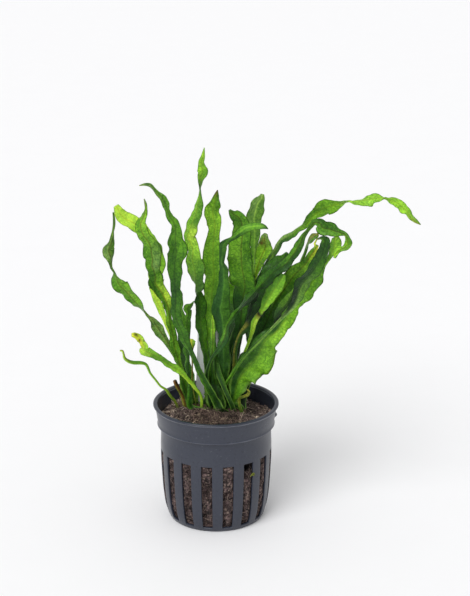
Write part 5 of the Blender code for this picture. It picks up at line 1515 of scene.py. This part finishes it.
def make_crumbs(soil, material):
    """Crumbs on the soil: icosahedra stretched and roughened at random, each sunk by a part of its size.

    A random direction and a second one square to it give each crumb's own axes. There are more crumbs towards
    the wall, where the ridge of fibre ends.
    """
    rng = np.random.default_rng(75)
    count = soil.crumbs
    golden = (1 + 5**0.5) / 2
    ball = unit(np.array([
        [-1, golden, 0], [1, golden, 0], [-1, -golden, 0], [1, -golden, 0], [0, -1, golden], [0, 1, golden],
        [0, -1, -golden], [0, 1, -golden], [golden, 0, -1], [golden, 0, 1], [-golden, 0, -1], [-golden, 0, 1],
    ]))
    sides = np.array([
        [0, 11, 5], [0, 5, 1], [0, 1, 7], [0, 7, 10], [0, 10, 11], [1, 5, 9], [5, 11, 4], [11, 10, 2],
        [10, 7, 6], [7, 1, 8], [3, 9, 4], [3, 4, 2], [3, 2, 6], [3, 6, 8], [3, 8, 9], [4, 9, 5], [2, 4, 11],
        [6, 2, 10], [8, 6, 7], [9, 8, 1],
    ])
    radius = CRUMB_REACH * rng.uniform(0, 1, count) ** 0.4
    angle = rng.uniform(0, tau, count)
    x, y = radius * np.cos(angle), radius * np.sin(angle)
    size = 0.22 + 0.6 * rng.uniform(0, 1, count) ** 2.5
    first = unit(rng.normal(size=(count, 3)))
    second = unit(np.cross(first, unit(rng.normal(size=(count, 3)))))
    axes = np.stack([first, second, np.cross(first, second)], axis=1)
    corners = len(ball)
    shape = ball * rng.uniform(0.55, 1.35, (count, 1, 3)) * rng.uniform(0.75, 1.2, (count, corners, 1))
    shape = shape * size[:, None, None]
    middle = np.stack([x, y, soil_height(x, y, soil) + 0.15 * size], axis=-1)
    places = middle[:, None] + shape @ axes
    faces = (sides + (np.arange(count) * corners)[:, None, None]).reshape(-1, 3)
    tints = np.repeat(fibre_tints(rng, count, soil, (0.5, 0.4, 0.1)) * 0.85, corners, axis=0)
    colours = {"fibre_tint": np.column_stack([tints, np.ones(len(tints))])}
    mesh = make_mesh("soil_crumbs", places.reshape(-1, 3), np.empty((0, 4), int), faces, colours, sharp=25)
    return add_piece("soil_crumbs", mesh, material, None)


def make_side_fibres(soil, pot, material):
    """Fibres that lie in the slots, on the swelling of the plug, and run behind the ribs."""
    rng = np.random.default_rng(72)
    count = soil.side_fibres
    t = np.linspace(0, 1, FIBRE_STATIONS)
    angle = (rng.integers(0, pot.slots, count) + rng.uniform(0.3, 0.7, count)) * tau / pot.slots + pot.turn
    z = rng.uniform(3.5, 31.5, count)
    reach = rng.uniform(1.5, 7.0, count)
    heading = rng.uniform(0, tau, count)
    turn = heading[:, None] + rng.uniform(-1.8, 1.8, count)[:, None] * t
    step = (reach / (FIBRE_STATIONS - 1))[:, None]
    arc = np.cumsum(step * np.cos(turn), axis=1)
    rise = np.cumsum(step * np.sin(turn), axis=1)
    z = np.clip(z[:, None] + rise - rise[:, 2:3], 2.6, 33.0)
    angle = angle[:, None] + (arc - arc[:, 2:3]) / 23.4
    window = slot_window(angle, z, pot)
    radius = wall_inside(z) - 0.25 + window * rng.uniform(0.25, 1.25, count)[:, None]
    radii = rng.uniform(0.05, 0.14, count)
    tints = fibre_tints(rng, count, soil, (0.36, 0.44, 0.20))
    sprout = slice(0, 3)
    sprout_angle = np.radians(SPROUT_ANGLE + np.linspace(-2.5, 2.0, FIBRE_STATIONS))
    angle[sprout] = sprout_angle + np.array([[0.0], [0.012], [-0.012]])
    z[sprout] = SPROUT_HEIGHT + 0.9 * np.sin(3 * t) + np.array([[0.0], [0.35], [-0.3]])
    radius[sprout] = SPROUT_RADIUS + 0.6 * t
    radii[sprout] = SPROUT_HALF_THICKNESS
    tints[sprout] = linear((0.56, 0.60, 0.20)) * 1.2
    mesh = make_mesh("side_fibres", *tubes(round_axis(radius, angle, z), radii, tints))
    return add_piece("soil_side_fibres", mesh, material, None)


def make_rhizome(rhizome, material):
    """A knobbly stem: a tube round a straight axis whose radius rises and falls with the old leaf scars.

    The radius is a row of knobs joined by a cubic, times one plus noise along and around it.
    """
    rows, columns = 150, 44
    knobs = np.array([0.02, 0.62, 0.9, 1.0, 0.9, 1.0, 0.93, 1.0, 0.9, 1.0, 0.94, 0.88, 0.58, 0.02])
    t = np.linspace(0, 1, rows)
    stops = np.concatenate([[0, 0.02], np.linspace(0.08, 0.92, len(knobs) - 4), [0.98, 1]])
    size = smooth_through(stops, knobs[:, None], t)
    radius = rhizome.radius / MM * size
    axis = along_rhizome(t)
    angle = np.arange(columns) / columns * tau
    ring = np.stack([np.zeros(columns), np.cos(angle), np.sin(angle)], axis=-1)
    base = axis[:, None] + ring * radius[..., None]
    bumps = 0.10 * noise(base, 2.6, 51) + 0.06 * noise(base, 1.2, 52) + 0.03 * noise(base, 0.6, 53)
    rings = -0.05 * np.abs(np.sin(axis[:, :1] * 1.7 + 0.6 * noise(base, 3.0, 54))) ** 8
    places = axis[:, None] + ring * (radius * (1 + bumps + rings))[..., None]
    points = np.vstack([places.reshape(-1, 3), axis[:1], axis[-1:]])
    mesh = make_mesh("rhizome", points, ring_quads(rows, columns), end_caps(rows, columns))
    return add_piece("creeping_rhizome", mesh, material, "rhizome")


def make_root_hairs(rhizome, soil, material):
    """Short wiry roots that leave the rhizome low down and curve into the soil."""
    rng = np.random.default_rng(81)
    count = rhizome.hairs
    t = np.linspace(0, 1, FIBRE_STATIONS)
    share = rng.uniform(0.04, 0.96, count)
    angle = rng.uniform(-1.0, pi + 1.0, count) + pi
    out = np.stack([rng.normal(0, 0.25, count), np.cos(angle), np.sin(angle)], axis=-1)
    start = along_rhizome(share) + out * (rhizome.radius / MM * 0.85)
    reach = rng.uniform(1.5, 5.5, count)[:, None, None]
    curve = (t**2)[None, :, None]
    drop = np.array([0, 0, -1.0]) * curve * reach * rng.uniform(0.2, 0.9, count)[:, None, None]
    sway = rng.normal(0, 0.35, (count, 1, 3)) * curve * reach
    lines = start[:, None] + out[:, None] * t[None, :, None] * reach + drop + sway
    tints = fibre_tints(rng, count, soil, (0.62, 0.30, 0.08))
    mesh = make_mesh("root_hairs", *tubes(lines, rng.uniform(0.07, 0.17, count), tints))
    return add_piece("rhizome_root_hairs", mesh, material, None)


def make_label(label, material):
    """A thin plate with rounded corners and edges, leaning in the soil.

    Its outline is a rectangle whose corners are quarter circles. The same outline is drawn at five depths,
    the outer two a little smaller, and a middle point closes each face.
    """
    width, high, thick = label.width / MM, label.height / MM, label.thickness / MM
    corner = min(label.corner / MM, width / 2 - 0.1)
    turn = np.linspace(0, pi / 2, 9)
    arcs = []
    for k, (sx, sz) in enumerate(((1, 1), (-1, 1), (-1, -1), (1, -1))):
        middle = np.array([sx * (width / 2 - corner), high / 2 + sz * (high / 2 - corner)])
        around = turn + k * pi / 2
        arcs.append(middle + corner * np.column_stack([np.cos(around), np.sin(around)]))
    outline = np.vstack(arcs)
    middle = np.array([0, high / 2])
    inset = unit(outline - middle) * 0.12
    sheets = []
    for depth, shrink in ((-0.5, 1), (-0.3, 0), (0, 0), (0.3, 0), (0.5, 1)):
        flat = outline - inset * shrink
        sheets.append(np.column_stack([flat[:, 0], np.full(len(flat), depth * thick), flat[:, 1]]))
    places = np.stack(sheets)
    rows, columns = places.shape[:2]
    points = np.vstack([places.reshape(-1, 3), [[0, -0.5 * thick, high / 2], [0, 0.5 * thick, high / 2]]])
    lean, turned = radians(LABEL_LEAN), radians(LABEL_TURN)
    tilt = np.array([[1, 0, 0], [0, cos(lean), -sin(lean)], [0, sin(lean), cos(lean)]])
    swing = np.array([[cos(turned), 0, sin(turned)], [0, 1, 0], [-sin(turned), 0, cos(turned)]])
    points = points @ (swing @ tilt).T + LABEL_FOOT
    mesh = make_mesh("plant_label", points, ring_quads(rows, columns), end_caps(rows, columns), sharp=30)
    return add_piece("blank_label", mesh, material, "plant_label")


def make_stage(stage):
    """A wide pale floor, white surroundings, a soft main light, and the camera at the photograph's angle."""
    scene = bpy.context.scene
    half = 3.0
    softness, lean, turn = radians(38), radians(38), radians(-26)
    mesh = bpy.data.meshes.new("stage_floor")
    corners = np.array([[-half, -half, 0], [half, -half, 0], [half, half, 0], [-half, half, 0]])
    mesh.from_pydata(corners.tolist(), [], [(0, 1, 2, 3)])
    material, tree = new_material("stage_floor")
    vector = add(tree, "TexCoord").outputs["Object"]
    tone = linear(stage.floor)
    grain = noise_value(tree, vector, 40.0, 2.0)
    shader = tree.nodes["Principled BSDF"]
    tree.links.new(mix(tree, grain, tuple(tone * 0.985), tuple(tone)), shader.inputs["Base Color"])
    shader.inputs["Roughness"].default_value = 0.7
    mesh.materials.append(material)
    floor = bpy.data.objects.new("stage_floor", mesh)
    scene.collection.objects.link(floor)

    world = bpy.data.worlds.new("stage_sky")
    world.use_nodes = True
    back = world.node_tree.nodes["Background"]
    back.inputs["Color"].default_value = (1, 1, 1, 1)
    back.inputs["Strength"].default_value = stage.sky
    scene.world = world

    sun = bpy.data.lights.new("stage_key", "SUN")
    sun.energy = stage.key
    sun.angle = softness
    key = bpy.data.objects.new("stage_key", sun)
    key.rotation_euler = (lean, turn, 0)
    scene.collection.objects.link(key)

    data = bpy.data.cameras.new("photo_camera")
    data.sensor_fit = "VERTICAL"
    data.sensor_height = 36.0
    data.lens = VIEW_FOCAL / FRAME_HEIGHT * data.sensor_height
    data.clip_start, data.clip_end = 0.01, 20.0
    camera = bpy.data.objects.new("photo_camera", data)
    camera.location = VIEWPOINT * MM
    camera.rotation_euler = (radians(90 - VIEW_PITCH), 0, 0)
    scene.collection.objects.link(camera)
    scene.camera = camera
    scene.view_settings.view_transform = "Standard"


def settings(key):
    return getattr(bpy.context.scene, key)


def shared_group(name, make):
    """The shader node group of that name, made the first time that it is asked for."""
    return bpy.data.node_groups.get(name) or make()


class FERN_OT_leaves(bpy.types.Operator):
    """Builds every leaf and shoot"""

    bl_idname = "fern.leaves"
    bl_label = "Build leaves"

    def execute(self, context):
        leaf = settings("fern_leaf")
        pattern = shared_group("leaf pattern", leaf_pattern)
        materials = {slot: leaf_material(slot, pattern) for slot in LEAF_FINISHES}
        for index, (name, drawn) in enumerate(LEAVES.items()):
            make_leaf(name, drawn, leaf, materials[drawn.slot], FIRST_SEED + index * SEED_STEP)
        return {"FINISHED"}


class FERN_OT_rhizome(bpy.types.Operator):
    """Builds the rhizome and its root hairs"""

    bl_idname = "fern.rhizome"
    bl_label = "Build rhizome"

    def execute(self, context):
        rhizome, soil = settings("fern_rhizome"), settings("fern_soil")
        make_rhizome(rhizome, bark_material(rhizome, shared_group("fine mottle", fine_mottle)))
        hairs = soil_material("root_hairs", shared_group("fibre grain", fibre_grain), soil, True)
        make_root_hairs(rhizome, soil, hairs)
        return {"FINISHED"}


class FERN_OT_soil(bpy.types.Operator):
    """Builds the soil and its loose fibres"""

    bl_idname = "fern.soil"
    bl_label = "Build soil"

    def execute(self, context):
        soil, pot = settings("fern_soil"), settings("fern_pot")
        grain = shared_group("fibre grain", fibre_grain)
        make_soil(soil, pot, soil_material("fibre_soil", grain, soil, False))
        fibres = soil_material("loose_fibres", grain, soil, True)
        make_top_fibres(soil, fibres)
        make_crumbs(soil, fibres)
        make_side_fibres(soil, pot, fibres)
        return {"FINISHED"}


class FERN_OT_pot(bpy.types.Operator):
    """Builds the slotted net pot"""

    bl_idname = "fern.pot"
    bl_label = "Build pot"

    def execute(self, context):
        pot = settings("fern_pot")
        mottle = shared_group("fine mottle", fine_mottle)
        plastic = plastic_material(
            "pot_plastic", pot.plastic, mottle,
            patches=0.12, specks=0.3, gloss=0.32, bump=0.03, highlight_bands=HIGHLIGHT_BANDS,
        )
        make_pot(pot, plastic)
        return {"FINISHED"}


class FERN_OT_label(bpy.types.Operator):
    """Builds the plain label"""

    bl_idname = "fern.label"
    bl_label = "Build label"

    def execute(self, context):
        label = settings("fern_label")
        mottle = shared_group("fine mottle", fine_mottle)
        plastic = plastic_material(
            "label_plastic", label.plastic, mottle, patches=0.05, specks=0.0, gloss=0.30, bump=0.02
        )
        make_label(label, plastic)
        return {"FINISHED"}


class FERN_OT_stage(bpy.types.Operator):
    """Builds the floor, the light and the camera"""

    bl_idname = "fern.stage"
    bl_label = "Build stage"

    def execute(self, context):
        make_stage(settings("fern_stage"))
        return {"FINISHED"}


OPERATORS = (FERN_OT_pot, FERN_OT_soil, FERN_OT_rhizome, FERN_OT_leaves, FERN_OT_label, FERN_OT_stage)


class FERN_PT_panel(bpy.types.Panel):
    """The fern's operators and settings"""

    bl_idname = "FERN_PT_panel"
    bl_label = "Potted java fern"
    bl_space_type = "VIEW_3D"
    bl_region_type = "UI"
    bl_category = "Fern"

    def draw(self, context):
        for operator in OPERATORS:
            self.layout.operator(operator.bl_idname)
        for key, group in SETTINGS.items():
            box = self.layout.box()
            for field in group.__annotations__:
                box.prop(getattr(context.scene, key), field)


CLASSES = (*SETTINGS.values(), *OPERATORS, FERN_PT_panel)


def register():
    for cls in CLASSES:
        bpy.utils.register_class(cls)
    for key, group in SETTINGS.items():
        setattr(bpy.types.Scene, key, PointerProperty(type=group))


def unregister():
    for key in SETTINGS:
        delattr(bpy.types.Scene, key)
    for cls in reversed(CLASSES):
        bpy.utils.unregister_class(cls)


def main():
    """Builds the whole fern."""
    register()
    for operator in OPERATORS:
        group, name = operator.bl_idname.split(".")
        getattr(getattr(bpy.ops, group), name)()


if __name__ == "__main__":
    main()
